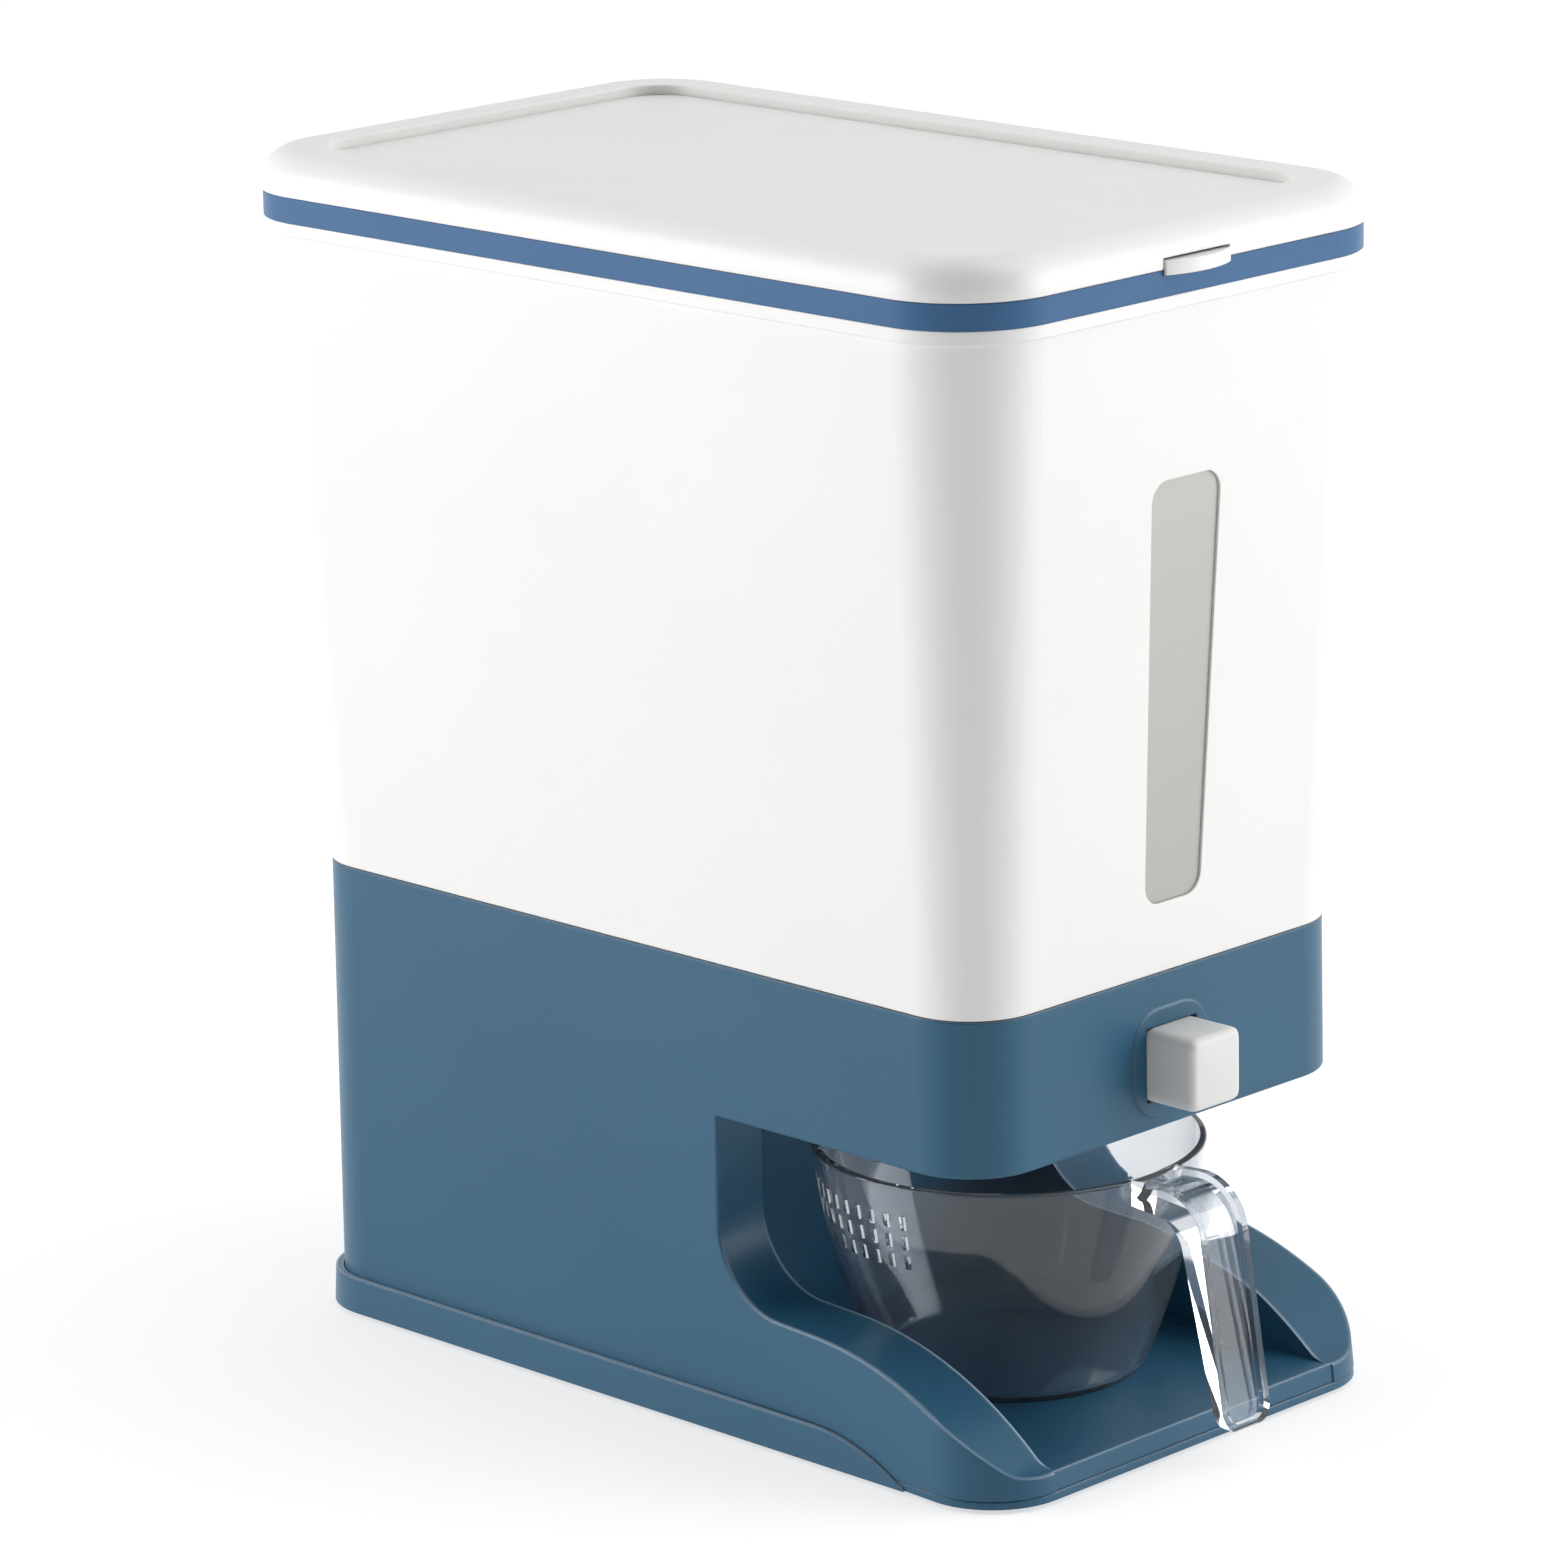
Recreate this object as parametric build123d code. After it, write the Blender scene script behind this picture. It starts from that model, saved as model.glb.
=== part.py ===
from build123d import *
import math
import os

# Walls and fits, in millimetres
WALL = 2.5  # moulded wall of the stand, the bin and the hopper
FIT = 0.3  # gap between neighbouring plastic parts
RUN_FIT = 0.05  # radial gap of a pin or a screw in its hole
SEAM_GAP = 0.6  # open shadow line between the bin and the stand
CUT = 1.0  # how far a cutting body reaches past the face that it opens
SINK = 1.0  # how far a fused detail starts inside the body that carries it

# Heights, one above the other
PLINTH_HEIGHT = 12.0
TRAY_HEIGHT = 9.0
BAY_HEIGHT = 97.0  # from the tray to the underside of the head
HEAD_HEIGHT = 51.0
BIN_HEIGHT = 221.0
COLLAR_HEIGHT = 8.5
LID_HEIGHT = 13.5
PAD_PROUD = 1.5  # how far the rubber pads lift the stand

# Plans of the rim, the seam and the plinth; front is -Y and the rim's centre is y = 0
RIM_WIDTH = 203.0
RIM_LENGTH = 340.0
RIM_CORNER = 33.6
SEAM_WIDTH = 180.0
SEAM_LENGTH = 313.0
SEAM_CORNER = 25.0
SEAM_CENTRE = -1.0
PLINTH_SIDE_REACH = 4.5  # plinth past the seam's outline
PLINTH_FRONT_REACH = 11.1
PLINTH_REAR_REACH = 2.9
PLINTH_CORNER = 26.6
PLINTH_DRAFT = 0.6  # how far the plinth leans in by its top edge
STAND_FLARE = 1.6  # how much each side of the stand spreads by its foot

# Cup bay, open at the front and at both sides
ARM_WIDTH = 24.0  # each side of the bay, inside the seam's outline
BAY_DEPTH = 143.5  # behind the front of the head, as are the next depths
SIDE_DEPTH = 119.0  # rear edge of the side openings
FLARE_DEPTH = 127.5  # where the sides start to flare out to the plinth's width
BAY_CORNER = 18.0
ARM_SLOPE = 2.5  # fall of the arm's straight stretch, in degrees
ARM_PITCH = 40.0  # steepest fall of the arm's S-curve, in degrees
ARM_HEEL_RADIUS = 28.0
ARM_CREST_RADIUS = 128.0
ARM_TIP_RADIUS = 12.0
ARM_SPLAY = 0.167  # forward drift of the arm's outer edge per unit of width
ARM_TIP_SETBACK = 2.5  # flat front edge of the tray in front of the arm's S-curve
BAY_EDGE = 0.8  # rounding all round the rim of the bay
LIP_RECESS = 0.5  # sunk front face of the tray
LIP_MARGIN = 1.5  # that face past the bay, on each side

# Bottom plate, its skirt and what holds it
PLATE = 2.5
SKIRT_DEPTH = 72.5  # behind the front of the head, where the skirt's upper edge starts to fall
SKIRT_RADIUS = 80.0
PAD_RADIUS = 8.0
PAD_SUNK = 0.8
PAD_INSET_X = 24.5  # from the plinth's outline to the middle of a pad
PAD_INSET_Y = 33.5
SCREW_RADIUS = 1.5
SCREW_HEAD_RADIUS = 3.0
SCREW_HEAD = 1.2
SCREW_LENGTH = 14.0
SCREW_HOLE_GAP = 0.2  # radial gap in a clearance hole
SCREW_ROOM = 2.0  # hole past the screw's end
DRIVER_GAP = 1.0  # round a screw's head, in the hole that a screwdriver goes through
BOSS_RADIUS = 4.0
PLATE_BOSS_HEIGHT = 44.0
PLATE_BOSS_INSET = 5.0  # from the wall's outer face at the seam
PLATE_BOSS_BEHIND = 18.5  # behind the rear edge of the side openings
PLATE_BOSS_REAR = 35.5  # from the rear face
ARM_BOSS_DEPTH = 47.5  # behind the front of the head
ARM_BOSS_OUT = 1.0  # outward from the middle of the arm

# Bin: rim bead, spigot in the stand, sloped ledge for the hopper
BEAD = 1.0
BEAD_HEIGHT = 4.3
SPIGOT_DEPTH = 10.0
SPIGOT_WALL = 2.2
SHELF = 2.5
BIN_BOSS_RADIUS = 4.5
BIN_LEDGE_RADIUS = 7.5
BIN_LEDGE = 3.0
BIN_LEDGE_DROP = 13.0  # ledge top below the seam
LEDGE_WIDTH = 3.5

# Level window in the front wall
WINDOW_RISE = 23.6  # lower edge above the seam
WINDOW_HEIGHT = 138.4
WINDOW_WIDTH_LOW = 26.1
WINDOW_WIDTH_HIGH = 32.4
WINDOW_CORNER = 7.0
WINDOW_SUNK = 0.8
WINDOW_FIT = 0.15
WINDOW_FLANGE = 3.0
WINDOW_FLANGE_THICKNESS = 1.2

# Hopper
HOPPER_TILT = 8.0
HOPPER_RISE = 29.4  # sloped seat above the seam, at y = 0
HOPPER_PLATE = 2.5
FUNNEL_SIDE = 8.0  # funnel's mouth inside the seam's outline
FUNNEL_FRONT = 8.5
FUNNEL_REAR = 5.5
FUNNEL_CORNER = 18.0
NECK_WALL = 2.0
NECK_CORNER = 2.0
NECK_HEIGHT = 4.0

# Outlet, gate and button
OUTLET_DEPTH = 77.5  # behind the front of the head
OUTLET_WIDTH = 50.0
OUTLET_LENGTH = 13.0
TRAVEL = 14.0  # stroke of the button and the gate
CHUTE_PLATE = 2.5
CHUTE_MARGIN = 1.0  # chute bore outside the outlet, on each side
CHUTE_WALL = 2.0
CHUTE_DROP = 4.0  # nozzle below the roof of the bay
GATE = 3.0
GATE_WIDTH = 60.0
GATE_LAND = 8.0
STEM_WIDTH = 16.0
TAB = 3.0
TAB_HEIGHT = 10.0
RAIL_WIDTH = 7.0
RAIL_LEAD = 3.0  # rails in front of the gate
HOUSING_PLATE = 2.5
HOUSING_WALL = 2.5
EAR_REACH = 5.7  # screw place outside the rails
EAR_INSET = 11.75  # screw place from the rails' ends
EAR_RADIUS = 5.0
EAR_DROP = 3.1  # ear thickness
SEAL_MARGIN = 4.7
SEAL_PROUD = 0.5
BUTTON_RISE = 9.6  # lower edge above the roof of the bay
BUTTON_WIDTH = 23.5
BUTTON_HEIGHT = 24.3
BUTTON_PROUD = 20.0
BUTTON_EDGE = 2.2
BUTTON_WALL = 2.0
BUTTON_FACE = 3.5
BUTTON_FLANGE = 2.2
BUTTON_PAD = 6.0  # raised surround on the head
BUTTON_PAD_PROUD = 0.6
BUTTON_PAD_EDGE = 0.4
PLUG_LENGTH = 8.0
PLUG_FIT = 0.15
SPRING_LENGTH = 36.0
SPRING_RADIUS = 3.6
SPRING_WIRE = 0.45
SPRING_TURNS = 9
SPIGOT_RADIUS = 2.6
SPIGOT_LENGTH = 5.0

# Collar and lid
COLLAR_BAND = 5.0
COLLAR_WIDTH = 16.0
COLLAR_PLATE = 2.5
COLLAR_LIP = 2.0
COLLAR_LIP_DEPTH = 8.0
COLLAR_SKIRT = 6.0
LID_GAP = 0.3
LID_OVERHANG = 0.5
LID_WALL = 3.0
LID_SKIN = 2.5
LID_ROUND = 11.0
PANEL_INSET = 21.0
PANEL_DEPTH = 3.5
PANEL_CORNER = 16.0
PANEL_EDGE = 0.6
PANEL_GROOVE = 0.6  # round the panel, at the foot of its wall
GASKET_INSET = 11.0
GASKET_WIDTH = 4.0
RIB = 1.6
RIB_DEPTH = 5.0
RIB_FIT = 0.15
HINGE_X = 48.0
HINGE_REACH = 4.6  # axis behind the collar's rear face
HINGE_RISE = 1.5  # axis above the collar's top
KNUCKLE_RADIUS = 3.4
KNUCKLE_WIDTH = 18.0
EAR_WIDTH = 8.0
HINGE_GAP = 0.4
HINGE_PIN_RADIUS = 1.5
CATCH_WIDTH = 30.0
CATCH_LOW = 1.5  # tab below the collar's top
CATCH_HIGH = 3.0  # tab above the collar's top
CATCH_BOW = 3.4
CATCH_EDGE = 0.8
CATCH_BARREL = 1.2
CATCH_PIN_RADIUS = 0.6
CATCH_PIN_SEAT = 3.0
NOTCH_GAP = 0.4
NIB = 0.9
NIB_HEIGHT = 0.7
NIB_INSET = 2.0  # nib from each end of the tab
GROOVE_DEPTH = 1.2

# Cup
CUP_DEPTH = 71.2  # axis behind the front of the head
CUP_GAP = 0.2
CUP_HEADROOM = 18.6  # from the rim to the roof of the bay, less the gap under the cup
CUP_CLEARANCE = 1.0  # rim inside the bay's walls
CUP_MID_TAPER = 9.2  # how much smaller the radius is at the middle point of the wall
CUP_MID_SHARE = 0.418  # height of that point as a share of the cup's
CUP_TAPER = 21.0  # how much smaller the radius is at the base
CUP_FOOT_ROUND = 5.0
CUP_WALL = 2.2
CUP_FLOOR = 2.6
CUP_LIP = 0.8  # rounding of the rim's outer edge
HANDLE_WIDTH = 22.0
HANDLE_TOP = 2.4  # crest of the handle above the cup's rim
HANDLE_ROOT_DEPTH = 10.5
HANDLE_SHOULDER = 26.5  # outer shoulder outside the cup's rim
HANDLE_REACH = 39.0  # lower end outside the cup's rim
HANDLE_END = 1.2  # lower end above the tray
HANDLE_DEPTH_TOP = 8.0
HANDLE_DEPTH_END = 4.0
HANDLE_OUTER_ROUND = 18.0
HANDLE_INNER_ROUND = 12.0
HANDLE_END_CORNER = 7.5  # corners of the lower end, seen from the front
HANDLE_BORDER = 2.6
HANDLE_CHANNEL = 2.0
HANDLE_TIP = 1.6  # rounding across the lower end
HANDLE_FALL = 2.0  # strap's fall from the shoulder back to the rim
SLOT_COLUMNS = 10  # drain slots in the left side of the cup
SLOT_ROWS = 3
SLOT_MIDDLE = 163.0  # middle of the field, in degrees from +X
SLOT_SPACING = 6.0  # between columns, in degrees
SLOT_PITCH = 7.0
SLOT_DROP = 13.0  # middle of the first row under the rim
SLOT_HEIGHT = 4.8
SLOT_WIDTH = 1.6
SLOT_REACH = 24.0

# Levels and faces that follow from the sizes above
ROOF_HEIGHT = TRAY_HEIGHT + BAY_HEIGHT
SEAM_HEIGHT = ROOF_HEIGHT + HEAD_HEIGHT
FOOT_Z = PAD_PROUD
PLINTH_Z = FOOT_Z + PLINTH_HEIGHT
TRAY_Z = FOOT_Z + TRAY_HEIGHT
ROOF_Z = FOOT_Z + ROOF_HEIGHT
DECK_Z = ROOF_Z + WALL
SEAM_Z = FOOT_Z + SEAM_HEIGHT
BIN_Z = SEAM_Z + SEAM_GAP
RIM_Z = SEAM_Z + BIN_HEIGHT
COLLAR_Z = RIM_Z + COLLAR_HEIGHT
LID_Z = COLLAR_Z + LID_GAP
LID_TOP = COLLAR_Z + LID_HEIGHT
GATE_Z = DECK_Z + CHUTE_PLATE + FIT
COVER_Z = GATE_Z + GATE + FIT
NECK_Z = COVER_Z + HOUSING_PLATE + SEAL_PROUD
FUNNEL_Z = NECK_Z + NECK_HEIGHT
BUTTON_Z = ROOF_Z + BUTTON_RISE
CUP_Z = TRAY_Z + CUP_GAP
HEAD_FRONT = SEAM_CENTRE - SEAM_LENGTH / 2
HEAD_REAR = SEAM_CENTRE + SEAM_LENGTH / 2
PLINTH_WIDTH = SEAM_WIDTH + 2 * PLINTH_SIDE_REACH
PLINTH_FRONT = HEAD_FRONT - PLINTH_FRONT_REACH
PLINTH_REAR = HEAD_REAR + PLINTH_REAR_REACH
PLINTH_LENGTH = PLINTH_REAR - PLINTH_FRONT
PLINTH_CENTRE = (PLINTH_FRONT + PLINTH_REAR) / 2
BAY_WIDTH = SEAM_WIDTH - 2 * ARM_WIDTH
BAY_BACK = HEAD_FRONT + BAY_DEPTH
SIDE_BACK = HEAD_FRONT + SIDE_DEPTH
FLARE_START = HEAD_FRONT + FLARE_DEPTH
SKIRT_TURN = HEAD_FRONT + SKIRT_DEPTH
OUTLET_Y = HEAD_FRONT + OUTLET_DEPTH
CUP_Y = HEAD_FRONT + CUP_DEPTH
CUP_HEIGHT = BAY_HEIGHT - CUP_HEADROOM
CUP_RIM_RADIUS = BAY_WIDTH / 2 - CUP_CLEARANCE
CUP_MID_RADIUS = CUP_RIM_RADIUS - CUP_MID_TAPER
CUP_MID_HEIGHT = CUP_HEIGHT * CUP_MID_SHARE
CUP_BASE_RADIUS = CUP_RIM_RADIUS - CUP_TAPER
HANDLE_CREST = CUP_HEIGHT + HANDLE_TOP
PORT_Y = OUTLET_Y - TRAVEL
GATE_FRONT = PORT_Y - OUTLET_LENGTH / 2 - GATE_LAND
GATE_REAR = OUTLET_Y + OUTLET_LENGTH / 2 + GATE_LAND
SPRING_FRONT = GATE_REAR + TAB
SPRING_REAR = SPRING_FRONT + SPRING_LENGTH
SPRING_Z = GATE_Z + TAB_HEIGHT / 2
RAIL_FRONT = GATE_FRONT - RAIL_LEAD
RAIL_REAR = SPRING_REAR + HOUSING_WALL
RAIL_INNER = GATE_WIDTH / 2 + FIT
RAIL_OUTER = RAIL_INNER + RAIL_WIDTH
EAR_X = RAIL_OUTER + EAR_REACH
EAR_Z = COVER_Z + HOUSING_PLATE - EAR_DROP
BIN_LEDGE_Z = SEAM_Z - BIN_LEDGE_DROP
HINGE_Y = RIM_LENGTH / 2 + HINGE_REACH
HINGE_Z = COLLAR_Z + HINGE_RISE
CATCH_Y = -RIM_LENGTH / 2 - LID_OVERHANG + LID_WALL / 2
CATCH_Z = COLLAR_Z + CATCH_HIGH - CATCH_BARREL
FAR = 400.0  # reach of cutting bodies past the object

# Tapers as a low and a high plan: height, width, length, corner, centre along Y
STAND_TAPER = (
    (FOOT_Z, SEAM_WIDTH + 2 * STAND_FLARE, SEAM_LENGTH, SEAM_CORNER, SEAM_CENTRE),
    (SEAM_Z, SEAM_WIDTH, SEAM_LENGTH, SEAM_CORNER, SEAM_CENTRE),
)
PLINTH_TAPER = (
    (FOOT_Z, PLINTH_WIDTH, PLINTH_LENGTH, PLINTH_CORNER, PLINTH_CENTRE),
    (
        PLINTH_Z,
        PLINTH_WIDTH - 2 * PLINTH_DRAFT,
        PLINTH_LENGTH - 2 * PLINTH_DRAFT,
        PLINTH_CORNER - PLINTH_DRAFT,
        PLINTH_CENTRE,
    ),
)
BIN_TAPER = (
    (SEAM_Z, SEAM_WIDTH, SEAM_LENGTH, SEAM_CORNER, SEAM_CENTRE),
    (RIM_Z, RIM_WIDTH - 2 * BEAD, RIM_LENGTH - 2 * BEAD, RIM_CORNER - BEAD, 0.0),
)


def block(x_span, y_span, z_span):
    """Box between two values on each axis."""
    spans = (x_span, y_span, z_span)
    sizes = [high - low for low, high in spans]
    middles = [(high + low) / 2 for low, high in spans]
    return Pos(*middles) * Box(*sizes)


def post(x, y, z_low, z_high, radius):
    """Upright cylinder between two heights."""
    return Pos(x, y, (z_low + z_high) / 2) * Cylinder(radius, z_high - z_low)


def cross_rod(y, z, x_low, x_high, radius):
    """Cylinder along X."""
    return Pos((x_low + x_high) / 2, y, z) * Rot(0, 90, 0) * Cylinder(radius, x_high - x_low)


def plan_at(taper, z, inset=0.0):
    """Rounded rectangle of a tapered body at one height, drawn in by inset."""
    low, high = taper
    share = (z - low[0]) / (high[0] - low[0])
    width, length, corner, centre = (a + (b - a) * share for a, b in zip(low[1:], high[1:]))
    outline = RectangleRounded(width - 2 * inset, length - 2 * inset, corner - inset)
    return Pos(0, centre, z) * outline


def tapered(taper, z_low, z_high, inset=0.0):
    """Tapered body between two heights."""
    return loft([plan_at(taper, z_low, inset), plan_at(taper, z_high, inset)], ruled=True)


def prism(plan, height):
    """Plan raised straight up."""
    return extrude(plan, amount=height, dir=(0, 0, 1))


def corner_posts(taper, z, reach):
    """Places on the diagonals of a plan's four corners, reach out from the arc centres."""
    low, high = taper
    share = (z - low[0]) / (high[0] - low[0])
    width, length, corner, centre = (a + (b - a) * share for a, b in zip(low[1:], high[1:]))
    step = reach / math.sqrt(2)
    half_x = width / 2 - corner + step
    half_y = length / 2 - corner + step
    return [(sx * half_x, centre + sy * half_y) for sx in (-1, 1) for sy in (-1, 1)]


def screw(x, y, z, up):
    """Screw whose head's bearing face is at z, with its shank going up (1) or down (-1)."""
    shank = post(x, y, min(z, z + up * SCREW_LENGTH), max(z, z + up * SCREW_LENGTH), SCREW_RADIUS)
    head = post(x, y, min(z, z - up * SCREW_HEAD), max(z, z - up * SCREW_HEAD), SCREW_HEAD_RADIUS)
    return shank + head


# Stand


def stand_plan(share, inset=0.0):
    """Outline under the head, from the foot (share 0) up to the roof (share 1); the sides flare out in front."""
    half = SEAM_WIDTH / 2 + STAND_FLARE * (1 - share * ROOF_HEIGHT / SEAM_HEIGHT) - inset
    spread = (PLINTH_WIDTH / 2 - SEAM_WIDTH / 2 - STAND_FLARE) * (1 - share)
    front = PLINTH_FRONT + (HEAD_FRONT - PLINTH_FRONT) * share + inset
    corner = PLINTH_CORNER + (SEAM_CORNER - PLINTH_CORNER) * share - inset
    rear = SEAM_CENTRE + SEAM_LENGTH / 2 - inset
    rear_corner = SEAM_CORNER - inset
    run = FLARE_START - front - corner
    turn = 2 * math.atan2(spread, run)
    back_turn = JernArc((half - rear_corner, rear), (1, 0), rear_corner, -90)
    side = Line(back_turn @ 1, (half, FLARE_START))
    if spread > 0:
        flare = JernArc(side @ 1, (0, -1), run / math.sin(turn) - corner, math.degrees(turn))
    else:
        flare = Line(side @ 1, (half, front + corner))
    front_turn = JernArc(flare @ 1, flare % 1, corner, -90 - math.degrees(turn))
    right = [line.edge() for line in (back_turn, side, flare, front_turn)]
    left = [mirror(edge, about=Plane.YZ).edge() for edge in right]
    ends = [Edge.make_line(right[place] @ at, left[place] @ at) for place, at in ((0, 0), (-1, 1))]
    return Pos(0, 0, FOOT_Z + share * ROOF_HEIGHT) * make_face(right + left + ends)


def stand_body(inset=0.0, below=0.0):
    """Stand under its head, drawn in by inset and carried on below the foot."""
    return loft([stand_plan(-below / ROOF_HEIGHT, inset), stand_plan(1, inset)], ruled=True)


def side_opening_profile(grow):
    """Outline of the side opening: arm tip, S-curve, straight run, heel and rear edge."""
    pitch = math.radians(ARM_PITCH)
    slope = math.radians(ARM_SLOPE)
    curved = (
        ARM_TIP_RADIUS * math.sin(pitch)
        + ARM_CREST_RADIUS * (math.sin(pitch) - math.sin(slope))
        + ARM_HEEL_RADIUS * (1 - math.sin(slope))
    )
    start_y = PLINTH_FRONT + ARM_TIP_SETBACK
    run = (SIDE_BACK - start_y - curved) / math.cos(slope)
    start = (start_y, TRAY_Z - grow)
    tip = JernArc(start, (1, 0), ARM_TIP_RADIUS + grow, ARM_PITCH)
    crest = JernArc(tip @ 1, tip % 1, ARM_CREST_RADIUS - grow, ARM_SLOPE - ARM_PITCH)
    straight = Line(crest @ 1, crest @ 1 + (crest % 1) * run)
    heel = JernArc(straight @ 1, straight % 1, ARM_HEEL_RADIUS + grow, 90 - ARM_SLOPE)
    rear = Line(heel @ 1, ((heel @ 1).X, ROOF_Z + grow))
    top = Line(rear @ 1, (-FAR, ROOF_Z + grow))
    front = Line(top @ 1, (-FAR, TRAY_Z - grow))
    floor = Line(front @ 1, start)
    return make_face([tip, crest, straight, heel, rear, top, front, floor])


def cutaway(grow=0.0):
    """The open cup bay with both side openings, grown all round by grow."""
    half = BAY_WIDTH / 2 + grow
    back = BAY_BACK + grow
    outline = make_face(Polyline((-half, back), (-half, -FAR), (half, -FAR), (half, back), close=True))
    rear_corners = outline.vertices().sort_by(Axis.Y)[-2:]
    plan = Pos(0, 0, TRAY_Z - grow) * fillet(rear_corners, BAY_CORNER + grow)
    bay = prism(plan, ROOF_Z - TRAY_Z + 2 * grow)
    inside = BAY_WIDTH / 4
    start = Plane.YZ.offset(BAY_WIDTH / 2 - inside) * (Pos(ARM_SPLAY * inside, 0) * side_opening_profile(grow))
    right = extrude(start, amount=PLINTH_WIDTH / 2, dir=(1, -ARM_SPLAY, 0))
    return bay + right + mirror(right, about=Plane.YZ)


def skirt_zone(gap=0.0):
    """Everything below the skirt's upper edge and behind its falling front end."""
    drop = PLINTH_HEIGHT + 2 * PLATE
    sweep_angle = math.degrees(math.acos(1 - drop / SKIRT_RADIUS))
    turn = (SKIRT_TURN, PLINTH_Z + gap)
    fall = JernArc(turn, (-1, 0), SKIRT_RADIUS + gap, sweep_angle)
    low = (fall @ 1).Y
    under = Line(fall @ 1, (FAR, low))
    rear = Line(under @ 1, (FAR, PLINTH_Z + gap))
    top = Line(rear @ 1, turn)
    return extrude(Plane.YZ * make_face([fall, under, rear, top]), amount=FAR / 2, both=True)


def plate_boss_places():
    """Six screw places: under the arms, then twice along the side walls."""
    arm_x = (BAY_WIDTH + ARM_WIDTH) / 2 + ARM_BOSS_OUT
    wall_x = SEAM_WIDTH / 2 - PLATE_BOSS_INSET
    rows = (
        (arm_x, HEAD_FRONT + ARM_BOSS_DEPTH),
        (wall_x, SIDE_BACK + PLATE_BOSS_BEHIND),
        (wall_x, HEAD_REAR - PLATE_BOSS_REAR),
    )
    return [(side * x, y) for x, y in rows for side in (-1, 1)]


def bin_boss_places():
    """Four screw places in the corners of the seam."""
    reach = SEAM_CORNER - WALL - FIT - SPIGOT_WALL / 2 - BIN_BOSS_RADIUS
    return corner_posts(BIN_TAPER, SEAM_Z, reach)


def housing_places():
    """Four screw places beside the gate housing."""
    return [(side * EAR_X, y) for side in (-1, 1) for y in (RAIL_FRONT + EAR_INSET, RAIL_REAR - EAR_INSET)]


def rounded_form():
    """Outside of the stand with the bay cut out of it and the bay's whole rim rounded."""
    outside = stand_body() + tapered(STAND_TAPER, ROOF_Z, SEAM_Z)
    bay = cutaway()
    form = outside - bay
    roof_edges = form.edges().filter_by_position(Axis.Z, ROOF_Z - FIT, ROOF_Z + FIT)
    rim = [edge for edge in roof_edges if edge.bounding_box().max.Y < SIDE_BACK - BAY_EDGE]
    rim += new_edges(outside, bay, combined=form)
    return fillet(rim, min(BAY_EDGE, WALL * 0.8))


def make_stand():
    under_plate = block((-FAR, FAR), (-FAR, FAR), (-FAR, FOOT_Z + PLATE + FIT))
    flared = block((-FAR, FAR), (-FAR, FLARE_START), (-FAR, PLINTH_Z + FIT))
    behind_skirt = (skirt_zone(FIT) & flared) - tapered(STAND_TAPER, FOOT_Z - CUT, SEAM_Z)
    lip_half = BAY_WIDTH / 2 + LIP_MARGIN
    lip = block((-lip_half, lip_half), (-FAR, PLINTH_FRONT + PLINTH_CORNER), (-FAR, TRAY_Z + CUT))
    form = rounded_form() - behind_skirt - under_plate
    form -= lip - stand_body(LIP_RECESS, below=CUT)
    hollow = stand_body(WALL, below=CUT) + tapered(STAND_TAPER, ROOF_Z, SEAM_Z + CUT, WALL)
    stand = form - (hollow - cutaway(WALL))

    for x, y in plate_boss_places():
        stand += post(x, y, FOOT_Z + PLATE, FOOT_Z + PLATE + PLATE_BOSS_HEIGHT, BOSS_RADIUS) & form
    for x, y in bin_boss_places():
        stand += post(x, y, BIN_LEDGE_Z - BIN_LEDGE, BIN_LEDGE_Z, BIN_LEDGE_RADIUS)
    for x, y in housing_places():
        stand += post(x, y, DECK_Z - SINK, EAR_Z, BOSS_RADIUS)

    button_x = BUTTON_WIDTH / 2
    pad_plan = RectangleRounded(BUTTON_WIDTH + 2 * BUTTON_PAD, BUTTON_HEIGHT + 2 * BUTTON_PAD, 2 * BUTTON_PAD)
    pad_face = Plane.XZ.offset(-HEAD_FRONT - SINK) * Pos(0, BUTTON_Z + BUTTON_HEIGHT / 2) * pad_plan
    pad = extrude(pad_face, amount=BUTTON_PAD_PROUD + SINK)
    pad = chamfer(pad.faces().sort_by(Axis.Y)[0].edges(), BUTTON_PAD_EDGE)
    stand += pad - block((-FAR, FAR), (-FAR, FAR), (-FAR, ROOF_Z + BAY_EDGE))
    stand -= block((-button_x - FIT, button_x + FIT), (-FAR, HEAD_FRONT + 2 * WALL),
                   (BUTTON_Z - FIT / 2, BUTTON_Z + BUTTON_HEIGHT + FIT))

    nozzle_half_x = OUTLET_WIDTH / 2 + CHUTE_MARGIN + CHUTE_WALL + FIT
    nozzle_half_y = OUTLET_LENGTH / 2 + CHUTE_MARGIN + CHUTE_WALL + FIT
    stand -= block((-nozzle_half_x, nozzle_half_x), (OUTLET_Y - nozzle_half_y, OUTLET_Y + nozzle_half_y),
                   (ROOF_Z - CUT, DECK_Z + CUT))
    for x, y in plate_boss_places():
        stand -= post(x, y, FOOT_Z, FOOT_Z + SCREW_LENGTH + SCREW_ROOM, SCREW_RADIUS + RUN_FIT)
    for x, y in bin_boss_places():
        stand -= post(x, y, BIN_LEDGE_Z - 2 * BIN_LEDGE, BIN_LEDGE_Z + CUT, SCREW_RADIUS + SCREW_HOLE_GAP)
        if y < BAY_BACK:
            stand -= post(x, y, ROOF_Z - CUT, DECK_Z + CUT, SCREW_HEAD_RADIUS + DRIVER_GAP)
    for x, y in housing_places():
        stand -= post(x, y, DECK_Z, EAR_Z + CUT, SCREW_RADIUS + RUN_FIT)
    return stand


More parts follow.
